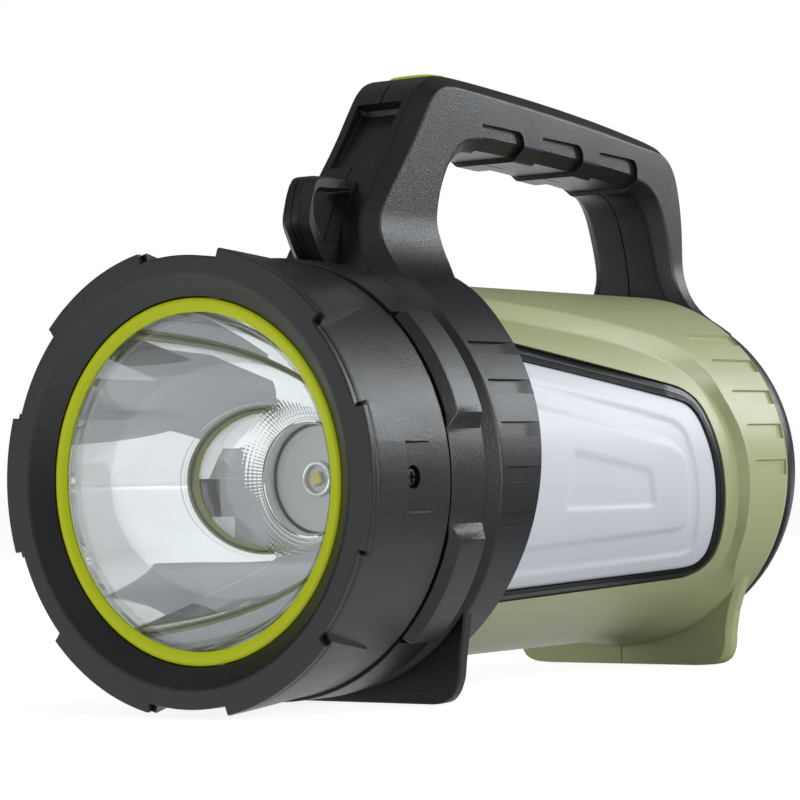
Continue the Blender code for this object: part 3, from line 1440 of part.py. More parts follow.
def make_rear_cover():
    """The disc in the rear rim, its screws, the charging inlet and the flap that covers it."""
    radius = rim_bore - GAP
    cover = turned(
        "rear_cover",
        [
            (0, cover_front),
            (radius, cover_front),
            (radius, cover_rear - COVER_EDGE_BEVEL),
            (radius - COVER_EDGE_BEVEL, cover_rear),
            (0, cover_rear),
        ],
        "black_plastic",
    )
    half_width = FLAP_WIDTH / 2
    recess_floor = cover_rear - FLAP_THICKNESS
    flap_top = FLAP_HEIGHT / 2 + INLET_RISE
    flap_low = INLET_RISE - FLAP_HEIGHT / 2
    barrel = FLAP_BARREL_RADIUS
    hinge_rise = flap_top + barrel
    hinge_station = cover_rear + barrel + GAP
    cut(
        cover,
        box(
            "flap_recess",
            (-half_width - GAP, recess_floor - GAP, flap_low - GAP),
            (half_width + GAP, cover_rear + OVERRUN, flap_top + 2 * barrel),
        ),
    )
    flap = box(
        "flap_form",
        (-half_width, recess_floor, flap_low),
        (half_width, cover_rear, flap_top),
    )
    lug = box(
        "flap_pull",
        (-FLAP_PULL_HALF_WIDTH, cover_rear - FLAP_THICKNESS / 2, flap_low + GAP),
        (FLAP_PULL_HALF_WIDTH, cover_rear + FLAP_THICKNESS, flap_low + FLAP_PULL_LENGTH),
    )
    plug = box(
        "flap_plug",
        (-INLET_WIDTH / 2 + WALL / 2, recess_floor - FLAP_PLUG_DEPTH, INLET_RISE - INLET_HEIGHT / 6),
        (INLET_WIDTH / 2 - WALL / 2, recess_floor + FLAP_THICKNESS / 2, INLET_RISE + INLET_HEIGHT / 6),
    )
    arm_reach = half_width - FLAP_EAR_WIDTH - 2 * GAP
    arm = prism_x(
        "flap_arm",
        (
            (recess_floor, flap_top - WALL),
            (cover_rear, flap_top - WALL),
            (hinge_station + barrel / 2, hinge_rise),
            (hinge_station - barrel / 2, hinge_rise),
            (recess_floor, flap_top),
        ),
        -arm_reach,
        arm_reach,
    )
    knuckle = cylinder(
        "flap_knuckle",
        (-arm_reach, hinge_station, hinge_rise),
        (1, 0, 0),
        barrel,
        2 * arm_reach,
    )
    pin_reach = half_width - FLAP_EAR_WIDTH / 4
    pin = cylinder(
        "flap_pin",
        (-pin_reach, hinge_station, hinge_rise),
        (1, 0, 0),
        FLAP_PIN_RADIUS,
        2 * pin_reach,
    )
    join(flap, lug, plug, arm, knuckle, pin)
    cover_socket = box(
        "inlet_opening",
        (-INLET_WIDTH / 2 - GAP, cover_front - OVERRUN, INLET_RISE - INLET_HEIGHT / 2 - GAP),
        (INLET_WIDTH / 2 + GAP, cover_rear + OVERRUN, INLET_RISE + INLET_HEIGHT / 2 + GAP),
    )
    cut(cover, cover_socket)
    for side in (-1, 1):
        ends = sorted((side * half_width, side * (half_width - FLAP_EAR_WIDTH)))
        ear = prism_x(
            f"flap_ear_{side}",
            (
                (cover_rear - FLAP_THICKNESS / 2, hinge_rise - barrel),
                (hinge_station + barrel / 2, hinge_rise - barrel),
                (hinge_station + barrel, hinge_rise),
                (hinge_station + barrel / 2, hinge_rise + barrel),
                (cover_rear - FLAP_THICKNESS / 2, hinge_rise + 2 * barrel),
            ),
            *ends,
        )
        join(cover, ear)
    cut(
        cover,
        cylinder(
            "flap_pin_hole",
            (-half_width - OVERRUN, hinge_station, hinge_rise),
            (1, 0, 0),
            FLAP_PIN_RADIUS + GAP,
            2 * (half_width + OVERRUN),
        ),
    )
    flap = settled(flap, "port_flap", "black_rubber")
    set_origin(flap, lamp_point(0, hinge_station, hinge_rise))
    inlet_rear = recess_floor - FLAP_PLUG_DEPTH / 4
    inlet = box(
        "charge_inlet",
        (-INLET_WIDTH / 2, inlet_rear - INLET_LENGTH, INLET_RISE - INLET_HEIGHT / 2),
        (INLET_WIDTH / 2, inlet_rear, INLET_RISE + INLET_HEIGHT / 2),
        "plated_steel",
    )
    mouth_width = INLET_WIDTH - 2 * INLET_WALL
    mouth_height = INLET_HEIGHT - 2 * INLET_WALL
    mouth = box(
        "inlet_mouth",
        (-mouth_width / 2, inlet_rear - INLET_LENGTH / 2, INLET_RISE - mouth_height / 2),
        (mouth_width / 2, inlet_rear + OVERRUN, INLET_RISE + mouth_height / 2),
    )
    cut(inlet, mouth)
    seat_station = cover_rear - SMALL_SCREW_SINK
    for number in range(COVER_SCREW_COUNT):
        angle = math.tau * (number + 0.5) / COVER_SCREW_COUNT
        x = cover_screw_circle * math.cos(angle)
        rise = cover_screw_circle * math.sin(angle)
        seat = cylinder(
            f"cover_screw_seat_{number + 1}",
            (x, seat_station - GAP, rise),
            (0, 1, 0),
            SMALL_SCREW_HEAD_RADIUS + GAP,
            COVER_THICKNESS,
        )
        hole = cylinder(
            f"cover_screw_hole_{number + 1}",
            (x, rim_front - OVERRUN, rise),
            (0, 1, 0),
            SMALL_SCREW_SHANK_RADIUS + GAP,
            2 * OVERRUN + COVER_THICKNESS,
        )
        cut(cover, seat, hole)
        cut(bpy.data.objects["frame_right" if x > 0 else "frame_left"], hole)
        screw(
            f"cover_screw_{number + 1}",
            (x, seat_station, rise),
            (0, -1, 0),
            SMALL_SCREW_HEAD_RADIUS,
            SMALL_SCREW_HEAD_HEIGHT,
            SMALL_SCREW_SHANK_RADIUS,
            SMALL_SCREW_LENGTH,
        )


def chassis_hoop(name, start):
    """A hoop of the chassis that sits inside the window trims."""
    outer = trim_inner - GAP
    end = start + CHASSIS_THICKNESS
    inner = outer - CHASSIS_HOOP_WIDTH
    return turned(name, [(inner, start), (outer, start), (outer, end), (inner, end)])


def make_chassis():
    """The deck across the body, with a wall on each side for the lantern boards and two hoops."""
    top = -chassis_drop + CHASSIS_THICKNESS
    rear = chassis_front + chassis_length
    half_width = trim_inner - CHASSIS_HOOP_WIDTH
    chassis = box(
        "chassis_form",
        (-half_width, chassis_front, -chassis_drop),
        (half_width, rear, top),
    )
    board_rear = lantern_board_start + lantern_board_length
    wall_outer = trim_inner - LANTERN_BOARD_INSET - BOARD_THICKNESS - GAP
    wall_inner = wall_outer - CHASSIS_THICKNESS
    board_low = top + GAP
    for side in (-1, 1):
        wall_ends = sorted((side * wall_inner, side * wall_outer))
        wall = box(
            f"chassis_wall_{side}",
            (wall_ends[0], lantern_board_start, top - CHASSIS_THICKNESS / 2),
            (wall_ends[1], board_rear, CHASSIS_WALL_TOP),
        )
        join(chassis, wall)
    join(chassis, chassis_hoop("chassis_hoop_front", chassis_front))
    join(chassis, chassis_hoop("chassis_hoop_rear", rear - CHASSIS_THICKNESS))
    settled(chassis, "chassis", "black_plastic")
    for side, name in ((1, "lantern_board_right"), (-1, "lantern_board_left")):
        near = wall_outer + GAP
        ends = sorted((side * near, side * (near + BOARD_THICKNESS)))
        board = box(
            name + "_form",
            (ends[0], lantern_board_start, board_low),
            (ends[1], board_rear, board_low + LANTERN_BOARD_HEIGHT),
        )
        pitch = lantern_board_length / LANTERN_LED_COUNT
        middle = board_low + LANTERN_BOARD_HEIGHT / 2
        half = LANTERN_LED_SIZE / 2
        face = near + BOARD_THICKNESS
        led_ends = sorted((side * (face - LANTERN_LED_HEIGHT), side * (face + LANTERN_LED_HEIGHT)))
        for number in range(LANTERN_LED_COUNT):
            station = lantern_board_start + (number + 0.5) * pitch
            led = box(
                f"{name}_led_{number + 1}",
                (led_ends[0], station - half, middle - half),
                (led_ends[1], station + half, middle + half),
            )
            join(board, led)
        settled(board, name, "white_board")


def make_cells():
    """The cells side by side in a holder under the chassis."""
    holder_top = -chassis_drop - GAP
    centre = holder_top - HOLDER_WALL - GAP - CELL_RADIUS
    half_width = (CELL_COUNT - 1) / 2 * CELL_PITCH + CELL_RADIUS + GAP + HOLDER_WALL
    cell_front = holder_start + HOLDER_WALL + GAP
    holder = box(
        "holder_form",
        (-half_width, holder_start, centre - HOLDER_WRAP),
        (half_width, cell_front + CELL_LENGTH + GAP + HOLDER_WALL, holder_top),
    )
    for number in range(CELL_COUNT):
        x = (number - (CELL_COUNT - 1) / 2) * CELL_PITCH
        bay = cylinder(
            f"cell_bay_{number + 1}",
            (x, cell_front - GAP, centre),
            (0, 1, 0),
            CELL_RADIUS + GAP,
            CELL_LENGTH + 2 * GAP,
            2 * SMALL_ROUND_STEPS,
        )
        cut(holder, bay)
        cylinder(
            f"cell_{number + 1}",
            (x, cell_front, centre),
            (0, 1, 0),
            CELL_RADIUS,
            CELL_LENGTH,
            2 * SMALL_ROUND_STEPS,
            "cell_wrap",
        )
    settled(holder, "cell_holder", "black_plastic")


def lead(name, path, finish):
    """A round lead along a path of points in lamp coordinates."""
    curve = bpy.data.curves.new(name, "CURVE")
    curve.dimensions = "3D"
    curve.bevel_depth = LEAD_RADIUS
    curve.bevel_resolution = 1
    curve.use_fill_caps = True
    spline = curve.splines.new("POLY")
    spline.points.add(len(path) - 1)
    for spot, point in zip(spline.points, path):
        spot.co = (*lamp_point(*point), 1)
    return add_object(name, curve, finish)


def make_main_board():
    """The main board on the chassis deck, and the leads to the light source and the inlet."""
    low = -chassis_drop + CHASSIS_THICKNESS + GAP
    top = low + BOARD_THICKNESS
    half_width = MAIN_BOARD_WIDTH / 2
    rear = main_board_start + MAIN_BOARD_LENGTH
    board = box("main_board_form", (-half_width, main_board_start, low), (half_width, rear, top))
    coil_place = (-half_width / 2, main_board_start + MAIN_BOARD_LENGTH / 3, top - BOARD_THICKNESS / 2)
    coil = cylinder("main_board_coil", coil_place, (0, 0, 1), COIL_RADIUS, COIL_HEIGHT)
    chip_station = main_board_start + MAIN_BOARD_LENGTH / 2
    chip = box(
        "main_board_chip",
        (half_width / 2, chip_station, top - BOARD_THICKNESS / 2),
        (half_width / 2 + CHIP_SIZE, chip_station + CHIP_SIZE, top + CHIP_HEIGHT),
    )
    settled(join(board, coil, chip), "main_board", "green_board")
    lead_rise = top + GAP + LEAD_RADIUS
    end_run = MAIN_BOARD_LENGTH / 8
    inlet_front = cover_rear - FLAP_THICKNESS - FLAP_PLUG_DEPTH / 4 - INLET_LENGTH
    inlet_run = inlet_front - rear
    light_run = main_board_start - heat_sink_rear
    for side, colour in ((1, "red"), (-1, "black")):
        x = side * LEAD_PITCH / 2
        finish = "red_rubber" if side > 0 else "black_rubber"
        light_path = [(x, led_board_front + LED_BOARD_THICKNESS + GAP, 0)]
        light_path += [
            (x, heat_sink_rear + along * light_run, fall * lead_rise) for along, fall in LEAD_BEND_SHARES
        ]
        light_path.append((x, main_board_start + end_run, lead_rise))
        lead("light_lead_" + colour, light_path, finish)
        inlet_path = [(x, rear - end_run, lead_rise)]
        inlet_path += [
            (x, rear + along * inlet_run, lead_rise + climb * (INLET_RISE - lead_rise))
            for along, climb in LEAD_BEND_SHARES
        ]
        inlet_path.append((x, inlet_front - GAP, INLET_RISE))
        lead("inlet_lead_" + colour, inlet_path, finish)


clear_scene()
parts = new_collection("rechargeable_searchlight")
cutters = new_collection("cutters")
make_bezel()
make_lens_stack()
make_reflector()
make_light_source()
make_barrel()
make_bumpers()
make_frame()
make_shells()
make_windows()
make_button()
make_rear_cover()
make_chassis()
make_cells()
make_main_board()
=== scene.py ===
import json
import math

import bmesh
import bpy
from mathutils import Matrix, Vector


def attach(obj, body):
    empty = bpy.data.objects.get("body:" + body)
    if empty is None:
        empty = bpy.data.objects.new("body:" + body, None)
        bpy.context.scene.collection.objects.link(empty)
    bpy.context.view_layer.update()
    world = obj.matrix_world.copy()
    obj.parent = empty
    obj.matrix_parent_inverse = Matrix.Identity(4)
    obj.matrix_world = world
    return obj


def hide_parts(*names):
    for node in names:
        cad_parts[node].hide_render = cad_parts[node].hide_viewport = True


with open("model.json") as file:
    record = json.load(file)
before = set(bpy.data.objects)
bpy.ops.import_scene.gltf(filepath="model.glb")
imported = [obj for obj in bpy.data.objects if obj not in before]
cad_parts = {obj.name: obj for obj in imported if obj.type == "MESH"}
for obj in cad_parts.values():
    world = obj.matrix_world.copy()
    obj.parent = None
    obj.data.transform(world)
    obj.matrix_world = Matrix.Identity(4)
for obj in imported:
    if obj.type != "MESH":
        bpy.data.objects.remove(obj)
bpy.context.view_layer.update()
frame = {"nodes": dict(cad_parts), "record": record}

length, axisHeight = 0.2342, 0.0595586  # overall length, and the lens axis above the feet
mm = 0.001  # shapes are in millimetres, looks and lamps in metres
deg = math.pi / 180


def lampPoint(x, station, rise):  # across, back from the bezel's front, above the lens axis
    return Vector((x * mm, station * mm - length / 2, axisHeight + rise * mm))


def polarPoint(radius, station, angle):
    reach = radius * mm
    return Vector((reach * math.cos(angle), station * mm - length / 2, axisHeight + reach * math.sin(angle)))


def loopAt(loop, angle):  # a (radius, station) loop turned to an angle round the lens axis
    return [polarPoint(radius, station, angle) for radius, station in loop]


# shader maths
class Value:
    def __init__(self, maker, socket):
        self.maker, self.socket = maker, socket

    def math(self, operation, other, swapped=False):
        pair = (other, self) if swapped else (self, other)
        return self.maker.add("ShaderNodeMath", {"operation": operation}, {0: pair[0], 1: pair[1]})

    def __add__(self, other): return self.math("ADD", other)
    def __radd__(self, other): return self.math("ADD", other, True)
    def __sub__(self, other): return self.math("SUBTRACT", other)
    def __rsub__(self, other): return self.math("SUBTRACT", other, True)
    def __mul__(self, other): return self.math("MULTIPLY", other)
    def __rmul__(self, other): return self.math("MULTIPLY", other, True)
    def __pow__(self, other): return self.math("POWER", other)
    def sine(self): return self.math("SINE", 0)
    def atLeast(self, other): return self.math("MAXIMUM", other)
    def above(self, other): return self.math("GREATER_THAN", other)
    def below(self, other): return self.math("LESS_THAN", other)
    def output(self, name): return Value(self.maker, self.socket.node.outputs[name])  # another of the same node


class Maker:
    def __init__(self, material):
        material.use_nodes = True
        self.tree = material.node_tree
        self.tree.nodes.clear()

    def add(self, kind, settings=None, inputs=None, output=0):
        node = self.tree.nodes.new(kind)
        for name, value in (settings or {}).items():
            setattr(node, name, value)
        for name, value in (inputs or {}).items():
            if isinstance(value, Value):
                self.tree.links.new(value.socket, node.inputs[name])
            else:
                node.inputs[name].default_value = value
        return Value(self, node.outputs[output]) if node.outputs else None

    def place(self, scale=(1, 1, 1), move=(0, 0, 0)):
        where = self.add("ShaderNodeTexCoord", output="Object")
        return self.add("ShaderNodeMapping", {}, {0: where, "Scale": scale, "Location": move})

    def noise(self, scale, detail=2, rough=0.5, place=None):
        where = place or self.place()
        return self.add("ShaderNodeTexNoise", {}, {
            "Vector": where, "Scale": scale, "Detail": detail, "Roughness": rough})

    def mixColour(self, factor, first, second):
        return self.add("ShaderNodeMix", {"data_type": "RGBA"}, {0: factor, 6: first, 7: second}, output=2)

    def bump(self, height, distance, strength=1.0):
        return self.add("ShaderNodeBump", {}, {"Height": height, "Distance": distance, "Strength": strength})

    def surface(self, inputs):
        self.finish(self.add("ShaderNodeBsdfPrincipled", {}, inputs))

    def finish(self, shader):
        self.add("ShaderNodeOutputMaterial", {}, {"Surface": shader})


def newMaterial(name):
    material = bpy.data.materials.new(name)
    return material, Maker(material)


def rgb(colour, share=1):  # the colour made darker or lighter
    return (*[min(1, part * share) for part in colour], 1)


def hexColour(text):  # a colour as it looks on screen
    parts = [int(text[i:i + 2], 16) / 255 for i in (0, 2, 4)]
    return tuple(p / 12.92 if p <= 0.04045 else ((p + 0.055) / 1.055) ** 2.4 for p in parts)


def grainedPlastic(name, look):
    material, maker = newMaterial(name)
    drift = maker.noise(22, 3)
    speck = maker.noise(look["grain"], 2, 0.6)
    rub = maker.noise(140, 4, 0.65)
    tone = maker.mixColour(drift, rgb(look["colour"], 0.93), rgb(look["colour"], 1.07))
    shade = maker.mixColour((speck - 0.5) * look["speckle"] + 0.5, rgb(look["colour"], 0.6), tone)
    maker.surface({
        "Base Color": maker.mixColour(0.5, tone, shade),
        "Roughness": (rub - 0.5) * 0.12 + (drift - 0.5) * 0.08 + look["roughness"],
        "Specular IOR Level": look["gloss"],
        "Normal": maker.bump(speck, look["relief"], 0.9),
    })
    return material


def smoothPlastic(name, look):
    material, maker = newMaterial(name)
    drift = maker.noise(30, 3)
    ripple = maker.noise(260, 2)
    maker.surface({
        "Base Color": maker.mixColour(drift, rgb(look["colour"], 0.95), rgb(look["colour"], 1.04)),
        "Roughness": (ripple - 0.5) * 0.08 + look["roughness"],
        "Specular IOR Level": look["gloss"],
        "Normal": maker.bump(ripple, 0.00001, 0.5),
    })
    return material


def metal(name, look):
    material, maker = newMaterial(name)
    brushed = maker.noise(900, 3, 0.6, maker.place(look["brush"]))
    drift = maker.noise(60, 3)
    maker.surface({
        "Base Color": maker.mixColour(brushed, rgb(look["colour"], 0.85), rgb(look["colour"])),
        "Metallic": 1.0,
        "Roughness": (drift - 0.5) * 0.15 + look["roughness"],
        "Normal": maker.bump(brushed, 0.000012, 0.6),
    })
    return material


def circuitBoard(name, look):
    material, maker = newMaterial(name)
    tracks = maker.add("ShaderNodeTexBrick", {"offset": 0.5}, {
        "Vector": maker.place(), "Scale": 120.0, "Mortar Size": 0.04,
        "Color1": rgb(look["colour"]), "Color2": rgb(look["colour"], 0.85), "Mortar": rgb(look["copper"])})
    weave = maker.noise(1500, 2)
    maker.surface({
        "Base Color": tracks,
        "Roughness": (weave - 0.5) * 0.1 + 0.42,
        "Normal": maker.bump(weave, 0.00001, 0.4),
    })
    return material


def mirrorCoating(name, dimples):
    material, maker = newMaterial(name)
    film = maker.noise(45, 3)
    tone = maker.mixColour(film, (0.88, 0.89, 0.90, 1), (0.94, 0.95, 0.96, 1))
    centre = maker.place(move=(0, 0, -axisHeight))
    across = maker.add("ShaderNodeSeparateXYZ", {}, {0: centre})
    rise = across.output("Z")
    radius = (across * across + rise * rise) ** 0.5
    turn = rise.math("ARCTAN2", across) * dimples["around"]
    out = radius * (math.tau / dimples["pitch"])
    zone = radius.above(dimples["from"]) * radius.below(dimples["to"])
    fade = zone * (radius - dimples["to"]) * (1 / (dimples["from"] - dimples["to"]))
    grid = (turn + out).sine() * (turn - out).sine() * fade
    maker.surface({
        "Base Color": tone,
        "Metallic": 1.0,
        "Roughness": (film - 0.5) * 0.01 + 0.018 + fade * 0.12,
        "Normal": maker.bump(grid, dimples["depth"]),
    })
    return material


def clearPlastic(name):
    material, maker = newMaterial(name)
    haze = maker.noise(70, 3)
    clear = maker.add("ShaderNodeBsdfTransparent", {}, {"Color": (0.97, 0.98, 0.98, 1)})
    gloss = maker.add("ShaderNodeBsdfPrincipled", {}, {
        "Base Color": (0.9, 0.93, 0.94, 1), "Roughness": 0.03, "Alpha": (haze - 0.5) * 0.02 + 0.03})
    edge = maker.add("ShaderNodeFresnel", {}, {"IOR": 1.45})
    shine = maker.add("ShaderNodeBsdfGlossy", {}, {"Color": (1, 1, 1, 1), "Roughness": 0.02})
    mixed = maker.add("ShaderNodeMixShader", {}, {0: edge * 0.6, 1: clear, 2: shine})
    maker.finish(maker.add("ShaderNodeMixShader", {}, {0: 0.06, 1: mixed, 2: gloss}))
    return material


def opalPlastic(name):
    material, maker = newMaterial(name)
    cloud = maker.noise(35, 3)
    tone = maker.mixColour(cloud, (0.655, 0.665, 0.715, 1), (0.705, 0.715, 0.76, 1))
    maker.surface({
        "Base Color": tone,
        "Roughness": (cloud - 0.5) * 0.1 + 0.42,
        "Specular IOR Level": 0.4,
        "Normal": maker.bump(maker.noise(1200, 2), 0.000006, 0.4),
    })
    return material


looks = {
    "graphite_plastic": grainedPlastic("graphitePlastic", {
        "colour": (0.013, 0.0145, 0.0165), "grain": 2300, "speckle": 1.8, "roughness": 0.32, "gloss": 0.5,
        "relief": 0.0001}),
    "black_plastic": grainedPlastic("blackPlastic", {
        "colour": (0.010, 0.0115, 0.0135), "grain": 2300, "speckle": 1.8, "roughness": 0.34, "gloss": 0.42,
        "relief": 0.0001}),
    "sage_plastic": grainedPlastic("sagePlastic", {
        "colour": hexColour("B8BB8C"), "grain": 2200, "speckle": 0.5, "roughness": 0.40, "gloss": 0.55,
        "relief": 0.00005}),
    "lime_plastic": smoothPlastic("limePlastic", {"colour": hexColour("DFEC12"), "roughness": 0.34, "gloss": 0.5}),
    "black_rubber": grainedPlastic("blackRubber", {
        "colour": (0.018, 0.018, 0.019), "grain": 3200, "speckle": 0.6, "roughness": 0.72, "gloss": 0.3,
        "relief": 0.00003}),
    "red_rubber": smoothPlastic("redRubber", {"colour": (0.45, 0.03, 0.03), "roughness": 0.5, "gloss": 0.4}),
    "cell_wrap": smoothPlastic("cellWrap", {"colour": (0.08, 0.24, 0.42), "roughness": 0.35, "gloss": 0.5}),
    "yellow_phosphor": smoothPlastic("yellowPhosphor", {
        "colour": (0.85, 0.70, 0.20), "roughness": 0.25, "gloss": 0.6}),
    "plated_steel": metal("platedSteel", {"colour": (0.07, 0.07, 0.075), "roughness": 0.36, "brush": (1, 1, 1)}),
    "aluminium": metal("aluminiumSheet", {"colour": (0.62, 0.63, 0.64), "roughness": 0.38, "brush": (1, 0.1, 1)}),
    "green_board": circuitBoard("greenBoard", {"colour": (0.03, 0.16, 0.07), "copper": (0.12, 0.26, 0.10)}),
    "white_board": smoothPlastic("whiteBoard", {"colour": (0.72, 0.73, 0.73), "roughness": 0.4, "gloss": 0.5}),
    "mirror_coating": mirrorCoating("mirrorCoating", {
        "around": 60, "pitch": 0.0021, "from": 0.0161, "to": 0.0226, "depth": 0.00006}),
    "clear_plastic": clearPlastic("clearPlastic"),
    "opal_plastic": opalPlastic("opalPlastic"),
}
nodeFinish = {entry["node"]: entry["material_slot"] for entry in frame["record"]["subparts"]}
for name, obj in frame["nodes"].items():
    obj.data.materials.clear()
    obj.data.materials.append(looks[nodeFinish[name]])
print("finishes ready")


# making meshes
def between(first, second, share):
    return tuple(a + (b - a) * share for a, b in zip(first, second))


def nearer(first, second, reach):  # a point on the way from first to second
    gap = math.dist(first, second)
    return between(first, second, 0 if gap == 0 else min(reach / gap, 0.4))


def clamped(value):
    return min(1, max(0, value))


def easy(value, low, high):  # 0 below low, 1 above high, smooth between
    t = clamped((value - low) / (high - low))
    return t * t * (3 - 2 * t)


def valueAt(table, key):  # straight lines through a table's (key, value) rows
    for (start, low), (end, high) in zip(table, table[1:]):
        if key <= end:
            return low + (high - low) * (key - start) / (end - start)
    return table[-1][1]


def softened(points, reach, steps=2, ends=True):  # rounds the corners of an outline
    result = []
    for i, corner in enumerate(points):
        if not ends and i in (0, len(points) - 1):
            result.append(corner)
            continue
        size = reach[i] if isinstance(reach, (list, tuple)) else reach
        start = nearer(corner, points[i - 1], size)
        end = nearer(corner, points[(i + 1) % len(points)], size)
        for step in range(steps + 1):
            t = step / steps
            result.append(tuple((1 - t) ** 2 * a + 2 * t * (1 - t) * c + t * t * b
                                for a, c, b in zip(start, corner, end)))
    return result


def smoothLine(points, parts):  # a curve through points, each stretch in so many parts
    result = []
    last = len(points) - 1
    for i in range(last):
        p0, p1, p2, p3 = points[max(i - 1, 0)], points[i], points[i + 1], points[min(i + 2, last)]
        for step in range(parts):
            t = step / parts
            result.append(tuple(
                0.5 * (2 * b + (c - a) * t + (2 * a - 5 * b + 4 * c - d) * t * t + (3 * b - a - 3 * c + d) * t ** 3)
                for a, b, c, d in zip(p0, p1, p2, p3)))
    result.append(tuple(points[last]))
    return result


def spread(stops, widest):  # values at the stops and between them, no further apart than widest
    result = []
    for low, high in zip(stops, stops[1:]):
        count = max(1, math.ceil((high - low) / widest))
        result += [low + (high - low) * i / count for i in range(count)]
    return result + [stops[-1]]


def skin(bm, sections, looped=False, capped=True):  # closed sections joined in order
    rings = [[bm.verts.new(point) for point in section] for section in sections]
    count = len(rings[0])
    for ring, following in zip(rings, rings[1:] + (rings[:1] if looped else [])):
        for i in range(count):
            j = (i + 1) % count
            bm.faces.new((ring[i], ring[j], following[j], following[i]))
    if capped and not looped:
        bm.faces.new(rings[0])
        bm.faces.new(reversed(rings[-1]))


def smoothed(mesh, sharp):
    mesh.shade_smooth()
    mesh.set_sharp_from_angle(angle=math.radians(sharp))
    return mesh


def plainMesh(name, bm):
    mesh = bpy.data.meshes.new(name)
    bm.to_mesh(mesh)
    bm.free()
    return mesh


def toMesh(name, bm, sharp=38):
    bmesh.ops.remove_doubles(bm, verts=bm.verts, dist=0.000002)
    bmesh.ops.dissolve_degenerate(bm, dist=0.000001, edges=bm.edges)
    bmesh.ops.recalc_face_normals(bm, faces=bm.faces)
    return smoothed(plainMesh(name, bm), sharp)


def skinned(name, sections, sharp=38, looped=False, capped=True):
    bm = bmesh.new()
    skin(bm, sections, looped, capped)
    return toMesh(name, bm, sharp)


def looseObject(name, data):
    obj = bpy.data.objects.new(name, data)
    bpy.context.scene.collection.objects.link(obj)
    return obj


def evaluatedMesh(obj):  # the mesh with its modifiers applied
    bpy.context.view_layer.update()
    return bpy.data.meshes.new_from_object(obj.evaluated_get(bpy.context.evaluated_depsgraph_get()))


def carve(obj, tools):  # cuts the tools out of a loose object
    for tool in tools:
        boolean = obj.modifiers.new(tool.name, "BOOLEAN")
        boolean.object, boolean.operation, boolean.solver = tool, "DIFFERENCE", "EXACT"
    mesh = evaluatedMesh(obj)
    obj.modifiers.clear()
    obj.data = mesh
    for tool in tools:
        bpy.data.objects.remove(tool)


def prism(name, outline, low, high):  # a (station, rise) outline drawn out across x
    return looseObject(name, skinned(name, [[lampPoint(x, *spot) for spot in outline] for x in (low, high)]))


def rod(name, start, end, radius, sides=32):
    bm = bmesh.new()
    turn = (end - start).to_track_quat("Z", "Y").to_matrix().to_4x4()
    bmesh.ops.create_cone(bm, cap_ends=True, segments=sides, radius1=radius * mm, radius2=radius * mm,
                          depth=(end - start).length)
    bmesh.ops.transform(bm, matrix=Matrix.Translation((start + end) / 2) @ turn, verts=bm.verts)
    return looseObject(name, toMesh(name, bm))


def turnedMesh(name, loop, steps=144, sharp=38):  # a closed (radius, station) loop round the lens axis
    return skinned(name, [loopAt(loop, math.tau * i / steps) for i in range(steps)], sharp, looped=True)


def mirrored(mesh, name):
    bm = bmesh.new()
    bm.from_mesh(mesh)
    bmesh.ops.scale(bm, vec=(-1, 1, 1), verts=bm.verts)
    bmesh.ops.reverse_faces(bm, faces=bm.faces)
    return toMesh(name, bm)


def finished(name, mesh, finish, nodes, body="lamp", weighted=True):  # a piece that stands for CAD nodes
    piece = looseObject(name, mesh)
    mesh.materials.clear()
    mesh.materials.append(looks[finish])
    if weighted:
        even = piece.modifiers.new("even", "WEIGHTED_NORMAL")
        even.keep_sharp = True
        even.weight = 80
        piece.data = evaluatedMesh(piece)
        piece.modifiers.clear()
    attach(piece, body)
    if nodes:
        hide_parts(*nodes)
    print(name, len(piece.data.polygons), "faces")


def finishedPair(name, mesh, finish, nodes, weighted=True):  # the right piece and its mirror image
    finished(name + "Right", mesh, finish, nodes[:1], weighted=weighted)
    finished(name + "Left", mirrored(mesh, name + "Left"), finish, nodes[1:], weighted=weighted)


# bezel: flat face, six grip lugs, cone down to the lime ring
bezel = {"lugRadius": 60.0, "gapRadius": 57.5, "lugHalf": 17.2, "ramp": 0.3, "coneMouth": 52.5, "bore": 47.1,
         "coneDepth": 4.6, "plate": 1.8, "sleeveRadius": 54.6, "rear": 8.0, "edge": 0.45}


def lugAngles():
    half, wide = bezel["lugHalf"], bezel["lugHalf"] + bezel["ramp"]
    stops = [60 * lug + side for lug in range(6) for side in (-wide, -half, half, wide)]
    return [angle * deg for angle in spread(stops + [stops[0] + 360], 2.5)[:-1]]


def makeBezel():
    b = bezel
    sections = []
    for angle in lugAngles():
        off = min(abs((angle / deg - 60 * lug + 180) % 360 - 180) for lug in range(6))
        keep = 1 - easy(off, b["lugHalf"], b["lugHalf"] + b["ramp"])
        outer = b["gapRadius"] + (b["lugRadius"] - b["gapRadius"]) * keep
        loop = [(b["coneMouth"], 0), (outer, 0), (outer, b["plate"]), (b["sleeveRadius"], b["plate"]),
                (b["sleeveRadius"], b["rear"]), (b["bore"], b["rear"]), (b["bore"], b["coneDepth"])]
        sections.append(loopAt(softened(loop, [0.9, b["edge"], 0.2, 0.2, 0.2, 0.2, 0.3], 3), angle))
    finished("bezelRing", skinned("bezelRing", sections, looped=True), "graphite_plastic", ["bezel_ring"])


# lime ring with a thin inner lip, so that the glass starts right behind it
trimRing = {"outer": 46.8, "inner": 43.15, "front": 4.3, "innerFront": 5.2, "rear": 7.95, "lip": 0.7, "bevel": 0.9}


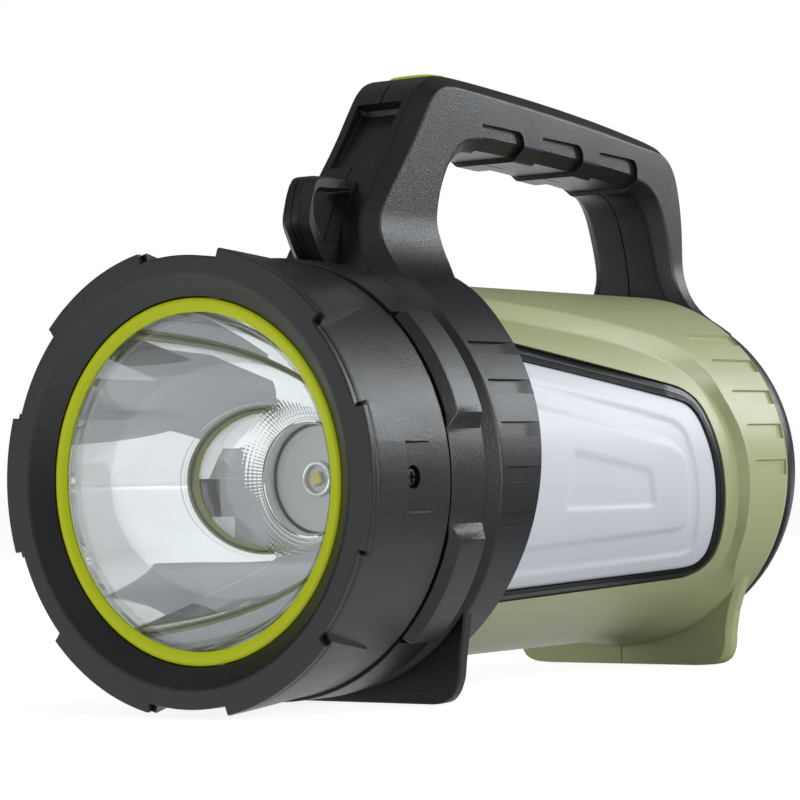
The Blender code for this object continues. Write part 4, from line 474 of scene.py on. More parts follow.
def makeTrimRing():
    t = trimRing
    lipRear = t["innerFront"] + t["lip"]
    loop = [(t["outer"] - t["bevel"], t["front"]), (t["outer"], t["front"] + 0.5), (t["outer"], t["rear"]),
            (t["outer"] - t["bevel"], t["rear"]), (t["inner"] + t["bevel"], lipRear + 0.2), (t["inner"], lipRear),
            (t["inner"], t["innerFront"]), (t["inner"] + 1.4, t["front"] + 0.25)]
    loop = softened(loop, [0.6, 0.3, 0.2, 0.2, 0.2, 0.15, 0.25, 1.0], 3)
    finished("limeRing", turnedMesh("limeRing", loop, 180), "lime_plastic", ["lens_trim_ring"])


# lens: a rim under the bezel and a raised pane that fills the lime ring, and the seal behind the rim
lens = {"rim": 50.4, "pane": 43.0, "rimFront": 8.35, "rimRear": 9.0, "paneFront": 5.95, "paneRear": 7.3, "steps": 128,
        "sealBore": 48.6, "sealFront": 9.1, "sealRear": 12.2}


def makeLens():
    g = lens
    loop = [(0, g["paneFront"]), (g["pane"], g["paneFront"]), (g["pane"], g["rimFront"]), (g["rim"], g["rimFront"]),
            (g["rim"], g["rimRear"]), (g["pane"] - 1.6, g["rimRear"]), (g["pane"] - 1.8, g["paneRear"]),
            (0, g["paneRear"])]
    loop = softened(loop, [0, 0.3, 0.2, 0.2, 0.2, 0.2, 0.2, 0], 2, ends=False)
    bm = bmesh.new()
    turns = [math.tau * i / g["steps"] for i in range(g["steps"])]
    rings = [[bm.verts.new(point) for point in loopAt(loop, turn)] for turn in turns]
    for ring, following in zip(rings, rings[1:] + rings[:1]):
        for j in range(len(loop) - 1):
            bm.faces.new((ring[j], ring[j + 1], following[j + 1], following[j]))
    finished("frontLens", toMesh("frontLens", bm), "clear_plastic", ["lens"])
    seal = [(g["sealBore"], g["sealFront"]), (g["rim"], g["sealFront"]), (g["rim"], g["sealRear"]),
            (g["sealBore"], g["sealRear"])]
    finished("lensSeal", turnedMesh("sealForm", softened(seal, 0.35, 3), 128), "black_rubber", ["lens_seal"])


# barrel: six wedge pads behind the lugs, a flat recess for the side screw in two of them
barrel = {"radius": 57.5, "front": 2.1, "rear": 36.5, "padTop": 60.0, "padLength": 25.4, "padStep": 0.6, "ramp": 0.3,
          "padEdge": ((0, 18.6), (22.0, 12.4), (25.4, 9.6)),  # distance behind the front, and half the pad in degrees
          "frontDrop": 0.25, "recessHalf": 8.5, "recessFront": 16.0, "screwStation": 20.3, "screwSeat": 2.95,
          "screwFloor": 55.2, "bore": 54.6, "ledge": 47.7, "ledgeFront": 14.1, "ledgeRear": 16.1, "seat": 50.7,
          "seatFront": 8.3, "sleeve": 54.9}


def padHalf(station):
    return valueAt(barrel["padEdge"], min(barrel["padLength"], max(0, station - barrel["front"])))


def padOffset(zone, share, half, flat):  # zone 0 is the pad's middle, 1 the rest of it, 2 its edge, 3 the gap
    ramp = barrel["ramp"]
    if zone == 0:
        return share
    if zone == 1:
        reach = flat + (half - flat) * abs(share)
    elif zone == 2:
        reach = half + ramp * abs(share)
    else:
        reach = half + ramp + (30 - half - ramp) * abs(share)
    return math.copysign(reach, share)


def barrelRadius(offset, station, screwed):  # offset is the angle from the pad's middle
    b = barrel
    run = (station - b["front"]) / b["padLength"]
    rise = (b["padTop"] - b["radius"] - b["padStep"]) * (1 - run) + b["padStep"]
    keep = 1 - easy(abs(offset), padHalf(station), padHalf(station) + b["ramp"])
    keep *= 1 - easy(station, b["front"] + b["padLength"] - 0.1, b["front"] + b["padLength"] + 0.3)
    if screwed:
        inside = 1 - easy(abs(offset), b["recessHalf"], b["recessHalf"] + b["ramp"])
        keep *= 1 - inside * easy(station, b["recessFront"], b["recessFront"] + 0.35)
    return b["radius"] + max(0, rise) * keep


def makeBarrel():
    b = barrel
    tip, flat, recess = b["front"] + b["padLength"], b["recessHalf"], b["recessFront"]
    stations = spread([b["front"], b["front"] + 0.35, recess, recess + 0.18, recess + 0.35,
                       tip - 0.1, tip + 0.1, tip + 0.3, b["rear"] - 0.5], 1.6)
    back = [(b["radius"], b["rear"]), (b["bore"], b["rear"]), (b["bore"], b["ledgeRear"]),
            (b["ledge"], b["ledgeRear"]), (b["ledge"], b["ledgeFront"]), (b["seat"], b["ledgeFront"]),
            (b["seat"], b["seatFront"]), (b["sleeve"], b["seatFront"]), (b["sleeve"], b["front"])]
    middle = spread([-flat - 0.3, -flat - 0.15, -flat, flat, flat + 0.15, flat + 0.3], 2.2)
    outer = [(1, 0.5), (1, 1), (2, 0.5), (2, 1)] + [(3, share) for share in (0.2, 0.4, 0.6, 0.8, 1)]
    columns = [(zone, -share) for zone, share in reversed(outer[:-1])] + [(0, share) for share in middle] + outer
    sections = []
    for pad in range(6):
        for zone, share in columns:
            section = []
            for station in stations:
                offset = padOffset(zone, share, padHalf(station), middle[-1])
                radius = barrelRadius(offset, station, pad in (0, 3))
                if station == b["front"]:
                    radius -= b["frontDrop"]
                section.append((radius, station, (pad * 60 + offset) * deg))
            last = section[-1]
            rear = softened([last[:2]] + back, [0, 0.45] + [0.2] * 8, 2, ends=False)[1:]
            sections.append([polarPoint(*spot) for spot in section] + loopAt(rear, last[2]))
    form = looseObject("barrelForm", skinned("barrelForm", sections, looped=True))
    seats = []
    for side in (-1, 1):
        start, end = [lampPoint(side * x, b["screwStation"], 0) for x in (b["screwFloor"], 62)]
        seats.append(rod("screwSeat", start, end, b["screwSeat"], 40))
    carve(form, seats)
    mesh = smoothed(form.data, 38)
    bpy.data.objects.remove(form)
    finished("headBarrel", mesh, "graphite_plastic", ["head_barrel"])


# bumper on each side of the hub, with a bevelled notch level with the side screw
bumper = {"radius": 59.6, "floor": 57.5, "inner": 56.8, "front": 38.0, "rear": 52.0, "notchFront": 37.1,
          "half": 46.0, "notchHalf": 12.1, "bevelHalf": 15.8, "chamfer": 2.6}


def makeBumpers():
    b = bumper
    angles = spread([-b["half"], -b["half"] + 0.4, -b["bevelHalf"], -b["notchHalf"], b["notchHalf"], b["bevelHalf"],
                     b["half"] - 0.4, b["half"]], 2.0)
    sections = []
    for angle in angles:
        lift = clamped((abs(angle) - b["notchHalf"]) / (b["bevelHalf"] - b["notchHalf"]))
        top = b["floor"] + (b["radius"] - b["floor"]) * lift
        if abs(angle) > b["half"] - 0.3:
            top -= 0.3
        front = b["notchFront"] + (b["front"] - b["notchFront"]) * lift
        slope = b["chamfer"] * lift + 0.15
        loop = [(b["inner"], front), (top - slope * 0.75, front), (top, front + slope), (top, b["rear"]),
                (b["inner"], b["rear"])]
        sections.append(loopAt(softened(loop, [0.1, 0.25, 0.35, 0.5, 0.1], 2), angle * deg))
    finishedPair("bumper", skinned("bumperRight", sections, 25), "graphite_plastic", ["bumper_right", "bumper_left"])


# frame: hub, marked ring, handle, rear rim and front foot, as one flowing half on each side of the seam
handle = {"ringFront": 58.0, "span": 176.2, "rise": 111.7, "halfWidth": 14.0, "chamfer": 4.0, "seam": 0.15,
          "seamFloor": 0.01, "frontFlare": 72.0, "rearFlare": 64.65, "flareRadius": 22.0, "flareCap": 19.0,
          "rootRise": 67.0, "rootReach": 15.0}
handleRows = (  # outer edge's station and rise, then the inner edge's, as shares of span and rise
    (0.006, 0.340, 0.118, 0.340), (0.008, 0.403, 0.142, 0.403), (0.012, 0.457, 0.184, 0.457),
    (0.019, 0.510, 0.226, 0.510), (0.029, 0.568, 0.238, 0.568), (0.041, 0.627, 0.238, 0.627),
    (0.060, 0.676, 0.242, 0.667), (0.094, 0.748, 0.251, 0.707), (0.139, 0.840, 0.267, 0.750),
    (0.173, 0.916, 0.285, 0.782), (0.196, 0.963, 0.300, 0.800), (0.219, 0.989, 0.313, 0.810),
    (0.250, 1.000, 0.332, 0.815), (0.306, 1.000, 0.363, 0.815), (0.437, 0.987, 0.465, 0.808),
    (0.579, 0.969, 0.579, 0.797), (0.721, 0.946, 0.692, 0.785), (0.834, 0.923, 0.783, 0.774),
    (0.902, 0.907, 0.823, 0.766), (0.939, 0.892, 0.843, 0.760), (0.966, 0.862, 0.860, 0.748),
    (0.982, 0.819, 0.876, 0.727), (0.993, 0.757, 0.890, 0.694), (0.999, 0.689, 0.902, 0.649),
    (1.000, 0.627, 0.912, 0.602), (1.000, 0.555, 0.920, 0.542), (0.999, 0.483, 0.923, 0.479),
    (0.998, 0.412, 0.924, 0.412), (0.996, 0.340, 0.924, 0.340))
ring = {"radius": 58.5, "inner": 54.4, "chamferFront": 53.2, "chamferInner": 54.6, "front": 58.0,
        "marks": (-11.6, 0.0, 11.6, 23.2, 34.8), "markHalf": 1.9, "markStart": 60.9, "markDepth": 0.8, "ramp": 0.14,
        "rear": ((-60.0, 66.8), (34.0, 82.8), (39.5, 84.0), (45.5, 86.6), (51.5, 90.2), (55.0, 93.2), (60.0, 94.5))}
rim = {"radius": 52.0, "rearRadius": 50.4, "front": 224.3, "rear": 233.0, "bore": 44.1, "lipBore": 36.1,
       "lipDepth": 3.0}
hub = {"front": 36.8, "rear": 54.0, "spigotFront": 17.0, "spigotRadius": 54.3, "bore": 52.1, "radius": 56.5,
       "apron": 58.3, "apronRear": 53.0, "apronFrom": 46.6, "filler": ((51.8, 52), (55.2, 52), (55.2, 64), (51.8, 64))}
seamAngle = 89.84  # where each frame half stops short of the seam


def handleEdge(span, rise):
    return handle["ringFront"] + span * handle["span"], rise * handle["rise"]


def handleHalf(rise, flare, radius):  # low down the handle flares out, but not past the ring's or rim's circle
    h = handle
    below = max(0, flare - rise)
    reach = min(below, h["flareRadius"] * 0.98)
    half = h["halfWidth"] + h["flareRadius"] - math.sqrt(h["flareRadius"] ** 2 - reach ** 2)
    if rise < radius and below > h["flareCap"]:
        half = min(half, math.sqrt(radius ** 2 - rise ** 2) - 0.25)
    return half


def handleSections():
    h = handle
    cut, seam, floor = h["chamfer"], h["seam"], h["seamFloor"]
    sections = []
    for row in smoothLine(handleRows, 4):
        outer, inner = handleEdge(row[0], row[1]), handleEdge(row[2], row[3])
        run = (inner[0] - outer[0], inner[1] - outer[1])
        size = math.hypot(*run)
        along = (run[0] / size, run[1] / size)
        rise = (outer[1] + inner[1]) / 2
        if row[0] < 0.5:  # the front leg's chamfer widens towards its root
            half = handleHalf(rise, h["frontFlare"], ring["radius"])
            low = min(h["rootReach"], max(0, h["rootRise"] - rise))
        else:
            half = handleHalf(rise, h["rearFlare"], rim["radius"])
            low = 0
        wide, deep = cut + low * low * 0.014, cut + low * 0.2
        outerSide = (outer[0] + along[0] * deep, outer[1] + along[1] * deep)
        innerSide = (inner[0] - along[0] * cut, inner[1] - along[1] * cut)
        loop = [(seam, *outer), (half - wide, *outer), (half, *outerSide), (half, *innerSide), (half - cut, *inner),
                (seam, *inner), (floor, inner[0] - along[0], inner[1] - along[1]),
                (floor, outer[0] + along[0], outer[1] + along[1])]  # the last two close the seam's groove
        loop = softened(loop, [0.25, 0.7, 0.7, 0.7, 0.9, 0.25, 0.05, 0.05], 2)
        sections.append([lampPoint(*spot) for spot in loop])
    return sections


def ringSections():
    r = ring
    edge = r["markHalf"] + r["ramp"]
    stops = sorted(mark + side for mark in r["marks"] for side in (-edge, -r["markHalf"], r["markHalf"], edge))
    sections = []
    for angle in spread([-90 + 0.15] + stops + [63.4, 90 - 0.15], 2.2):
        inside = min(clamped((abs(angle - mark) - r["markHalf"]) / r["ramp"]) for mark in r["marks"])
        depth = r["markDepth"] * (1 - inside)
        rear = valueAt(r["rear"], r["radius"] * math.sin(angle * deg))
        climb = easy(angle, 41, 63)  # towards the handle the ring starts further back
        begin = r["markStart"] + climb * 6.5
        rows = [begin - 0.7, begin, begin + 0.35]
        rows += [begin + 0.35 + (rear - 0.3 - begin - 0.35) * i / 8 for i in range(1, 9)]
        fades = [0, 0, 1] + [1 - easy(station, rear - 7, rear - 0.4) for station in rows[3:]]
        top = [(r["radius"] - depth * fade, station) for fade, station in zip(fades, rows)]
        start, corner = r["chamferFront"] + climb * 5, r["front"] + 0.5 + climb * 7
        chamfer = [(r["inner"] - 3, start), (r["chamferInner"] + climb * 0.8, start), (r["radius"], corner), top[0]]
        loop = softened(chamfer, [0, 0.3, 0.6, 0], 3, ends=False) + top[1:]
        sections.append(loopAt(loop + [(r["radius"] - 0.3, rear), (r["inner"] - 3, rear)], angle * deg))
    return sections


def swept(loop, first, last):
    return [loopAt(loop, angle * deg) for angle in spread([first, last], 2.5)]


tab = {"half": 4.5, "nose": 2.4, "setback": 2.2,
       "outline": ((73.0, 80.9), (54.8, 81.2), (51.5, 80.4), (49.4, 76.1), (47.6, 70.0), (48.0, 67.5), (52.4, 60.0),
                   (56.6, 56.4), (68.6, 54.7)),
       "eye": ((54.1, 77.9), (69.6, 78.3), (66.1, 72.0), (63.1, 66.0), (61.0, 61.5), (57.5, 61.5), (52.0, 69.0),
               (51.8, 75.0))}


def makeTab():
    t = tab
    rounded = softened(t["outline"], 2.0, 3)
    steps = ((0.15, 0), (t["nose"] - 0.3, 0), (t["nose"], 0.15), (t["half"] - 0.4, t["setback"] - 0.3),
             (t["half"], t["setback"]))
    layers = [[lampPoint(x, station + back, rise - back * 0.25) for station, rise in rounded] for x, back in steps]
    form = looseObject("tabForm", skinned("tabForm", layers))
    carve(form, [prism("tabEye", softened(t["eye"], 1.8, 4), -1, 9)])
    return form


frontFoot = {"front": 57.7, "thickness": 3.6,
             "outline": ((0.03, 40.0), (46.8, 32.2), (45.5, 41.7), (44.6, 47.6), (44.0, 52.7), (42.6, 56.3),
                         (40.4, 58.7), (36.9, 59.5586), (0.03, 59.5586))}
grip = {"notches": ((119.7, 141.0), (151.1, 173.0), (182.2, 204.0)), "depth": 1.25, "height": 4.3, "corner": 3.0,
        "climb": 0.045}
pocket = {"half": 7.6, "depth": 3.8, "from": (0.060, 0.676), "to": (0.196, 0.963), "low": 0.30, "high": 0.88}
buttonSlot = ((102.2, 106), (119.8, 106), (119.8, 118), (102.2, 118))


def gripUnderside(station):
    return valueAt([handleEdge(row[2], row[3]) for row in handleRows], station)


def notchTools():
    tools = []
    cut, edge, half, corner = grip["depth"], handle["chamfer"], handle["halfWidth"], grip["corner"]
    for number, (start, end) in enumerate(grip["notches"]):
        stations = [start, (start + end - corner) / 2]
        stations += [end - corner + corner * math.sin(k * math.pi / 12) for k in range(7)]
        sections = []
        for station in stations:
            under = gripUnderside(station)
            run = max(0, station - end + corner) / corner
            top = gripUnderside(start) + edge + grip["height"] - (station - start) * grip["climb"]
            top -= corner * (1 - math.sqrt(max(0, 1 - run * run)))
            low = under - 5
            spots = [(-1, low), (20, low), (20, top), (half - cut, top), (half - cut, under + edge + cut * 0.6),
                     (half - edge - cut * 0.6, under + cut), (-1, under + cut)]
            sections.append([lampPoint(x, station, rise) for x, rise in spots])
        tools.append(looseObject(f"notchForm{number}", skinned("notchForm", sections)))
    return tools


def pocketTool():
    low, high, depth = Vector(handleEdge(*pocket["from"])), Vector(handleEdge(*pocket["to"])), pocket["depth"]
    slope = high - low
    inward = Vector((slope.y, -slope.x)).normalized()
    first, last = low + slope * pocket["low"], low + slope * pocket["high"]
    points = [first - inward * 4, first + inward * 1.5, last - slope.normalized() * 1.2 + inward * depth,
              last + inward * (depth - 1), last - inward * 4]
    layers = []
    for x, shrink in ((-1, 0), (pocket["half"] - 1.2, 0), (pocket["half"], 1.3)):
        outline = [point - inward * (shrink if 1 < i < 4 else 0) for i, point in enumerate(points)]
        layers.append([lampPoint(x, *point) for point in outline])
    return looseObject("pocketForm", skinned("pocketForm", layers))


def frameRest():  # all of the right half but the handle
    bm = bmesh.new()
    skin(bm, ringSections())
    h = hub
    apron = [(52, h["front"]), (h["apron"], h["front"]), (h["apron"], h["apronRear"]), (52, h["apronRear"])]
    apron = softened(apron, [0, 0.5, 2.6, 0], 3)
    core = [(h["bore"], h["spigotFront"]), (h["spigotRadius"], h["spigotFront"]), (h["spigotRadius"], h["front"]),
            (h["radius"], h["front"]), (h["radius"], h["rear"]), (h["bore"], h["rear"])]
    back = [(rim["bore"], rim["front"]), (rim["radius"], rim["front"]), (rim["radius"], rim["front"] + 3),
            (rim["rearRadius"], rim["rear"]), (rim["bore"], rim["rear"])]
    back = softened(back, [0.2, 0.3, 1.5, 1.4, 0.5], 3)
    lipOuter, lipRear = rim["bore"] + 1, rim["front"] + rim["lipDepth"]
    lip = [(rim["lipBore"], rim["front"]), (lipOuter, rim["front"]), (lipOuter, lipRear), (rim["lipBore"], lipRear)]
    for loop, first, last in ((apron, h["apronFrom"], seamAngle), (apron, -seamAngle, -h["apronFrom"]),
                              (core, -seamAngle, seamAngle), (h["filler"], 38, seamAngle),
                              (back, -seamAngle, seamAngle), (lip, -seamAngle, seamAngle)):
        skin(bm, swept(loop, first, last))
    foot = [(x, -drop) for x, drop in frontFoot["outline"]]
    foot = softened(foot, [0, 0.3, 1, 1, 1, 1.2, 1.2, 1.2, 0], 2)
    front, rear = frontFoot["front"], frontFoot["front"] + frontFoot["thickness"]
    steps = ((front, 0.5), (front + 0.5, 0), (rear - 0.5, 0), (rear, 0.5))
    skin(bm, [[lampPoint(x - draw if x > 1 else x, station, rise) for x, rise in foot] for station, draw in steps])
    tabForm = makeTab()
    bm.from_mesh(tabForm.data)
    bpy.data.objects.remove(tabForm)
    return toMesh("frameRest", bm)


def makeFrame():
    form = looseObject("handleForm", skinned("handleForm", handleSections()))
    carve(form, notchTools() + [pocketTool(), prism("buttonSlot", buttonSlot, -1, 7.3)])
    rest = frameRest()
    leftForm = looseObject("leftHandleForm", mirrored(form.data, "leftHandle"))
    carve(leftForm, [rod("screwSeat", lampPoint(-11.1, *place), lampPoint(-20, *place), 3.2)
                     for place in caseScrews["places"]])
    for side, grips, others in (("Right", form, rest), ("Left", leftForm, mirrored(rest, "leftRest"))):
        bm = bmesh.new()
        bm.from_mesh(grips.data)
        bm.from_mesh(others)
        bpy.data.objects.remove(grips)
        finished("frame" + side, toMesh("frame" + side, bm, 33), "black_plastic", ["frame_" + side.lower()])


# body shells: bevelled step down to the window field, grip marks and half of the rear foot
shell = {"front": 60.5, "length": 163.5, "radius": 54.0, "field": 51.3, "wall": 2.2, "taper": 2.0, "taperLength": 4.0,
         "markHalf": 2.25, "markDepth": 0.95, "ramp": 0.16, "markEnd": 220.0, "seam": 0.17,
         "marks": ((0.15, 202.0), (11.75, 199.8), (23.25, 197.5), (34.95, 195.6), (46.1, 193.4))}
fieldOuter = (  # share of the shell's length, and share of a quarter turn
    (-0.492, 1.020), (0.257, 0.720), (0.514, 0.616), (0.706, 0.506), (0.771, 0.386), (0.797, 0.246), (0.819, 0.134),
    (0.833, 0.029), (0.841, -0.076), (0.850, -0.220), (0.860, -0.337), (0.882, -0.400), (0.901, -0.470),
    (0.908, -0.602), (0.902, -0.752), (0.905, -1.000))
fieldInner = (
    (-0.741, 1.020), (0.262, 0.629), (0.525, 0.526), (0.688, 0.422), (0.763, 0.322), (0.806, 0.143),
    (0.827, -0.079), (0.846, -0.271), (0.844, -0.427), (0.835, -0.553), (0.815, -0.666), (0.794, -0.758),
    (0.785, -1.000))
rearFoot = {"front": 210.5, "rear": 216.7, "seam": 0.16, "bore": 52.9,
            "outline": ((0.16, 36.0), (46.0, 26.0), (43.6, 31.0), (41.6, 36.9), (39.5, 43.0), (38.4, 49.0),
                        (38.1, 54.0), (36.5, 57.6), (33.3, 59.2), (28.7, 59.5586), (0.16, 59.5586))}


def shareAt(table, turn):
    for (start, high), (end, low) in zip(table, table[1:]):
        if low <= turn <= high:
            return start + (end - start) * (high - turn) / (high - low)
    return table[-1][0]


def shellRow(angle, curves):
    s = shell
    turn = angle / 90
    outer = max(shareAt(curves[0], turn) * s["length"], 0.25)
    inner = max(shareAt(curves[1], turn) * s["length"], 0.05)
    outer = max(outer, inner + 0.6)
    step = 0.12 * (outer - inner)
    offsets = [0, inner * 0.5, max(inner - step, inner * 0.8), inner, inner + step, (inner + outer) / 2,
               outer - step, outer, outer + step]
    low, end = offsets[-1], s["length"] - s["taperLength"]
    offsets += [low + (end - 0.2 - low) * i / 40 for i in range(1, 40)]
    offsets += [end - 0.2, end, s["length"] - 1.0, s["length"] - 0.3, s["length"]]
    row = []
    for offset in offsets:
        share = clamped((offset - inner) / (outer - inner))
        share = share * share * (3 - 2 * share) * 0.15 + share * 0.85
        radius = s["field"] + (s["radius"] - s["field"]) * share
        if offset > end:
            radius -= s["taper"] * ((offset - end) / s["taperLength"]) ** 2
        station = s["front"] + offset
        for middle, start in s["marks"]:
            across = 1 - clamped((abs(angle - middle) - s["markHalf"]) / s["ramp"])
            along = easy(station, start, start + 0.35) * (1 - easy(station, s["markEnd"] - 0.3, s["markEnd"]))
            radius -= s["markDepth"] * across * along
        row.append((radius, station))
    return row


def makeRearFoot():
    f = rearFoot
    start, end = f["front"], f["rear"]
    foot = softened([(x, -drop) for x, drop in f["outline"]], [0, 1, 1, 1, 1, 1, 1.5, 1.5, 1.5, 1.5, 0], 2)
    layers = []
    for station, draw in ((start, 1.6), (start + 0.5, 0.8), (start + 1.6, 0), (end - 1.2, 0), (end - 0.4, 0.5),
                          (end, 1.2)):
        edge = 0.01 if draw == 0 else f["seam"]
        layers.append([lampPoint(x - draw if x > 1 else edge, station, rise) for x, rise in foot])
    form = looseObject("footForm", skinned("footForm", layers))
    bore = [(1, start - 4), (f["bore"], start - 4), (f["bore"], end + 4), (1, end + 4)]
    carve(form, [looseObject("footBore", turnedMesh("footBore", bore, 96))])
    return form


def makeShells():
    s = shell
    curves = [smoothLine(fieldOuter, 6), smoothLine(fieldInner, 6)]
    edge, last = s["markHalf"] + s["ramp"], 90 - s["seam"]
    stops = sorted(middle + side for middle, _ in s["marks"] for side in (-edge, -s["markHalf"], s["markHalf"], edge))
    sections = []
    for angle in spread([-last] + stops + [last], 1.8):
        row = shellRow(angle, curves)
        inside = [(row[-1][0] - s["wall"] * 0.8, row[-1][1]), (s["field"] - s["wall"], row[0][1])]
        sections.append(loopAt(row + inside, angle * deg))
    form = looseObject("shellForm", skinned("shellForm", sections, 30))
    opening = [(s["front"] + along * s["length"], up * s["radius"]) for along, up in trimShares]
    carve(form, [prism("windowOpening", softened(opening, 5.0, 4), 20, 110)])
    footForm = makeRearFoot()
    bm = bmesh.new()
    for part in (form, footForm):
        bm.from_mesh(part.data)
        bpy.data.objects.remove(part)
    finishedPair("shell", toMesh("shellRight", bm, 30), "sage_plastic", ["shell_right", "shell_left"])


# window: a recessed dark frame with a ribbed strip, and the opal diffuser with its pressed panels
trimShares = (  # share of the shell's length, and share of its radius
    (0.018, 0.760), (0.690, 0.448), (0.728, 0.384), (0.745, 0.294), (0.765, 0.090), (0.782, -0.132), (0.804, -0.402),
    (0.804, -0.486), (0.785, -0.550), (0.740, -0.588), (0.018, -0.648))
windowShares = (
    (0.028, 0.660), (0.680, 0.378), (0.707, 0.350), (0.726, 0.285), (0.748, 0.090), (0.764, -0.130), (0.786, -0.400),
    (0.787, -0.470), (0.772, -0.520), (0.740, -0.540), (0.028, -0.595))


def inset(outline, distance):  # moves an outline's edge inwards, seen in its own plane
    area = sum(a[0] * b[1] - b[0] * a[1] for a, b in zip(outline, outline[1:] + outline[:1]))
    side = 1 if area > 0 else -1
    result = []
    for i, point in enumerate(outline):
        before, after = outline[i - 1], outline[(i + 1) % len(outline)]
        way = Vector((after[0] - before[0], after[1] - before[1]))
        way.normalize()
        result.append((point[0] - way.y * side * distance, point[1] + way.x * side * distance))
    return result


def windowEdge(shares, steps=5):
    points = [(shell["front"] + along * shell["length"], up * shell["radius"]) for along, up in shares]
    return softened(points, 9.0, steps)


def onCylinder(station, rise, radius):
    return lampPoint(math.sqrt(radius * radius - rise * rise), station, rise)


trim = {"top": 50.9, "under": 46.7, "flangeTop": 48.8, "flange": 2.0, "gap": 0.3, "ribs": 4, "ribDepth": 0.28,
        "ribStart": 0.60}


def makeTrims():
    t = trim
    outer = inset(windowEdge(trimShares), t["gap"])
    rows = [(-1, t["under"]), (-1, t["flangeTop"]), (0, t["flangeTop"]), (0, t["top"] - 0.3), (0.04, t["top"] - 0.05),
            (0.10, t["top"]), (t["ribStart"] - 0.03, t["top"] - 0.12)]  # share of the way inwards, and radius
    pitch, low, high = (1 - t["ribStart"]) / t["ribs"], t["top"] - 0.2 - t["ribDepth"], t["top"] - 0.2
    for rib in range(t["ribs"]):
        start = t["ribStart"] + rib * pitch
        rows += [(start + pitch * share, radius) for share, radius in ((0.10, low), (0.34, low), (0.46, high),
                                                                       (0.88, high))]
    rows += [(1, t["top"] - 0.45), (1, t["under"])]
    sections = []
    for edge, flange, near in zip(outer, inset(outer, -t["flange"]), windowEdge(windowShares)):
        sections.append([onCylinder(*(flange if share < 0 else between(edge, near, share)), radius)
                         for share, radius in rows])
    mesh = skinned("trimRight", sections, 30, looped=True)
    finishedPair("windowTrim", mesh, "graphite_plastic", ["window_trim_right", "window_trim_left"])


diffuser = {"top": 50.0, "under": 48.2, "gap": 0.25, "channelDepth": 0.55, "panelDepth": 0.7, "rings": 34,
            "spine": ((66.0, 0.0), (158.0, -8.0)),  # the rings shrink on to this line
            "channelOuter": ((60.0, 30.2), (90.9, 25.3), (140, 18.2), (163.9, 14.4), (169.5, 11.5), (173.2, -1),
                             (176.9, -14.7), (180.3, -23.2), (174.7, -24.6), (84.4, -27.2), (60, -28.4)),
            "channelInner": ((60.0, 23.6), (90.6, 18.7), (140, 10.9), (161.3, 7.4), (166.9, 4.2), (171.6, -15.1),
                             (168, -17.0), (85.1, -20.4), (60, -21.6)),
            "panel": ((107.1, 5.9), (147.4, 0.2), (151.1, -10.1), (103.3, -10.0))}


def outlineDistance(point, outline):  # positive inside
    inside, best = False, math.inf
    x, y = point
    for (ax, ay), (bx, by) in zip(outline, outline[1:] + outline[:1]):
        if (ay > y) != (by > y) and x < (bx - ax) * (y - ay) / (by - ay) + ax:
            inside = not inside
        dx, dy = bx - ax, by - ay
        share = clamped(((x - ax) * dx + (y - ay) * dy) / (dx * dx + dy * dy))
        best = min(best, math.hypot(x - ax - dx * share, y - ay - dy * share))
    return best if inside else -best


def diffuserHeight(point, shapes):
    d = diffuser
    outer, inner, panel = [outlineDistance(point, shape) for shape in shapes]
    channel = easy(outer, -0.5, 0.9) * (1 - easy(inner, -0.9, 0.7))
    return d["top"] - d["channelDepth"] * channel - d["panelDepth"] * easy(panel, -0.6, 1.0)


def makeDiffusers():
    d = diffuser
    edge = inset(windowEdge(windowShares, 6), d["gap"])
    edge = [point for i, point in enumerate(edge) if math.dist(point, edge[i - 1]) > 0.05]
    dense = []
    for start, end in zip(edge, edge[1:] + edge[:1]):
        count = max(1, round(math.dist(start, end) / 1.1))
        dense += [tuple(a + (b - a) * k / count for a, b in zip(start, end)) for k in range(count)]
    shapes = [softened(d[name], reach, 5) for name, reach in (("channelOuter", 4.0), ("channelInner", 3.5),
                                                              ("panel", 2.2))]
    first, last = d["spine"]
    targets = [between(first, last, clamped((x - first[0]) / (last[0] - first[0]))) for x, _ in dense]
    rounding = 0.024  # share of the way inwards that the rounded edge takes
    steps = [(0, 0.5), (0.012, 0.12), (rounding, 0)]
    steps += [(rounding + (1 - rounding) * i / d["rings"], 0) for i in range(1, d["rings"] + 1)]
    layers = []
    for share, drop in steps:
        spots = [between(start, end, share) for start, end in zip(dense, targets)]
        layers.append([onCylinder(*spot, diffuserHeight(spot, shapes) - drop) for spot in spots])
    under = [[onCylinder(*point, d["under"]) for point in points] for points in (dense, targets)]
    mesh = skinned("diffuserRight", layers[::-1] + under, 50, capped=False)
    finishedPair("window", mesh, "opal_plastic", ["window_diffuser_right", "window_diffuser_left"], weighted=False)


# mirror: a bowl fuller than a parabola, with a polished collar round the light source
mirror = {"mouth": 46.5, "bend": 0.35, "front": 12.5, "lip": 9.2, "lipWall": 0.3, "neck": 16.2, "neckStation": 53.5,
          "wall": 1.4, "flange": 50.4, "flangeRear": 13.8, "collarBore": 14.7, "collarRear": 57.0, "rings": 44}


def mirrorRadius(station):
    m = mirror
    power = 1 / m["bend"]
    low, high = m["neck"] ** power, m["mouth"] ** power
    return (low + (high - low) * (m["neckStation"] - station) / (m["neckStation"] - m["lip"])) ** m["bend"]


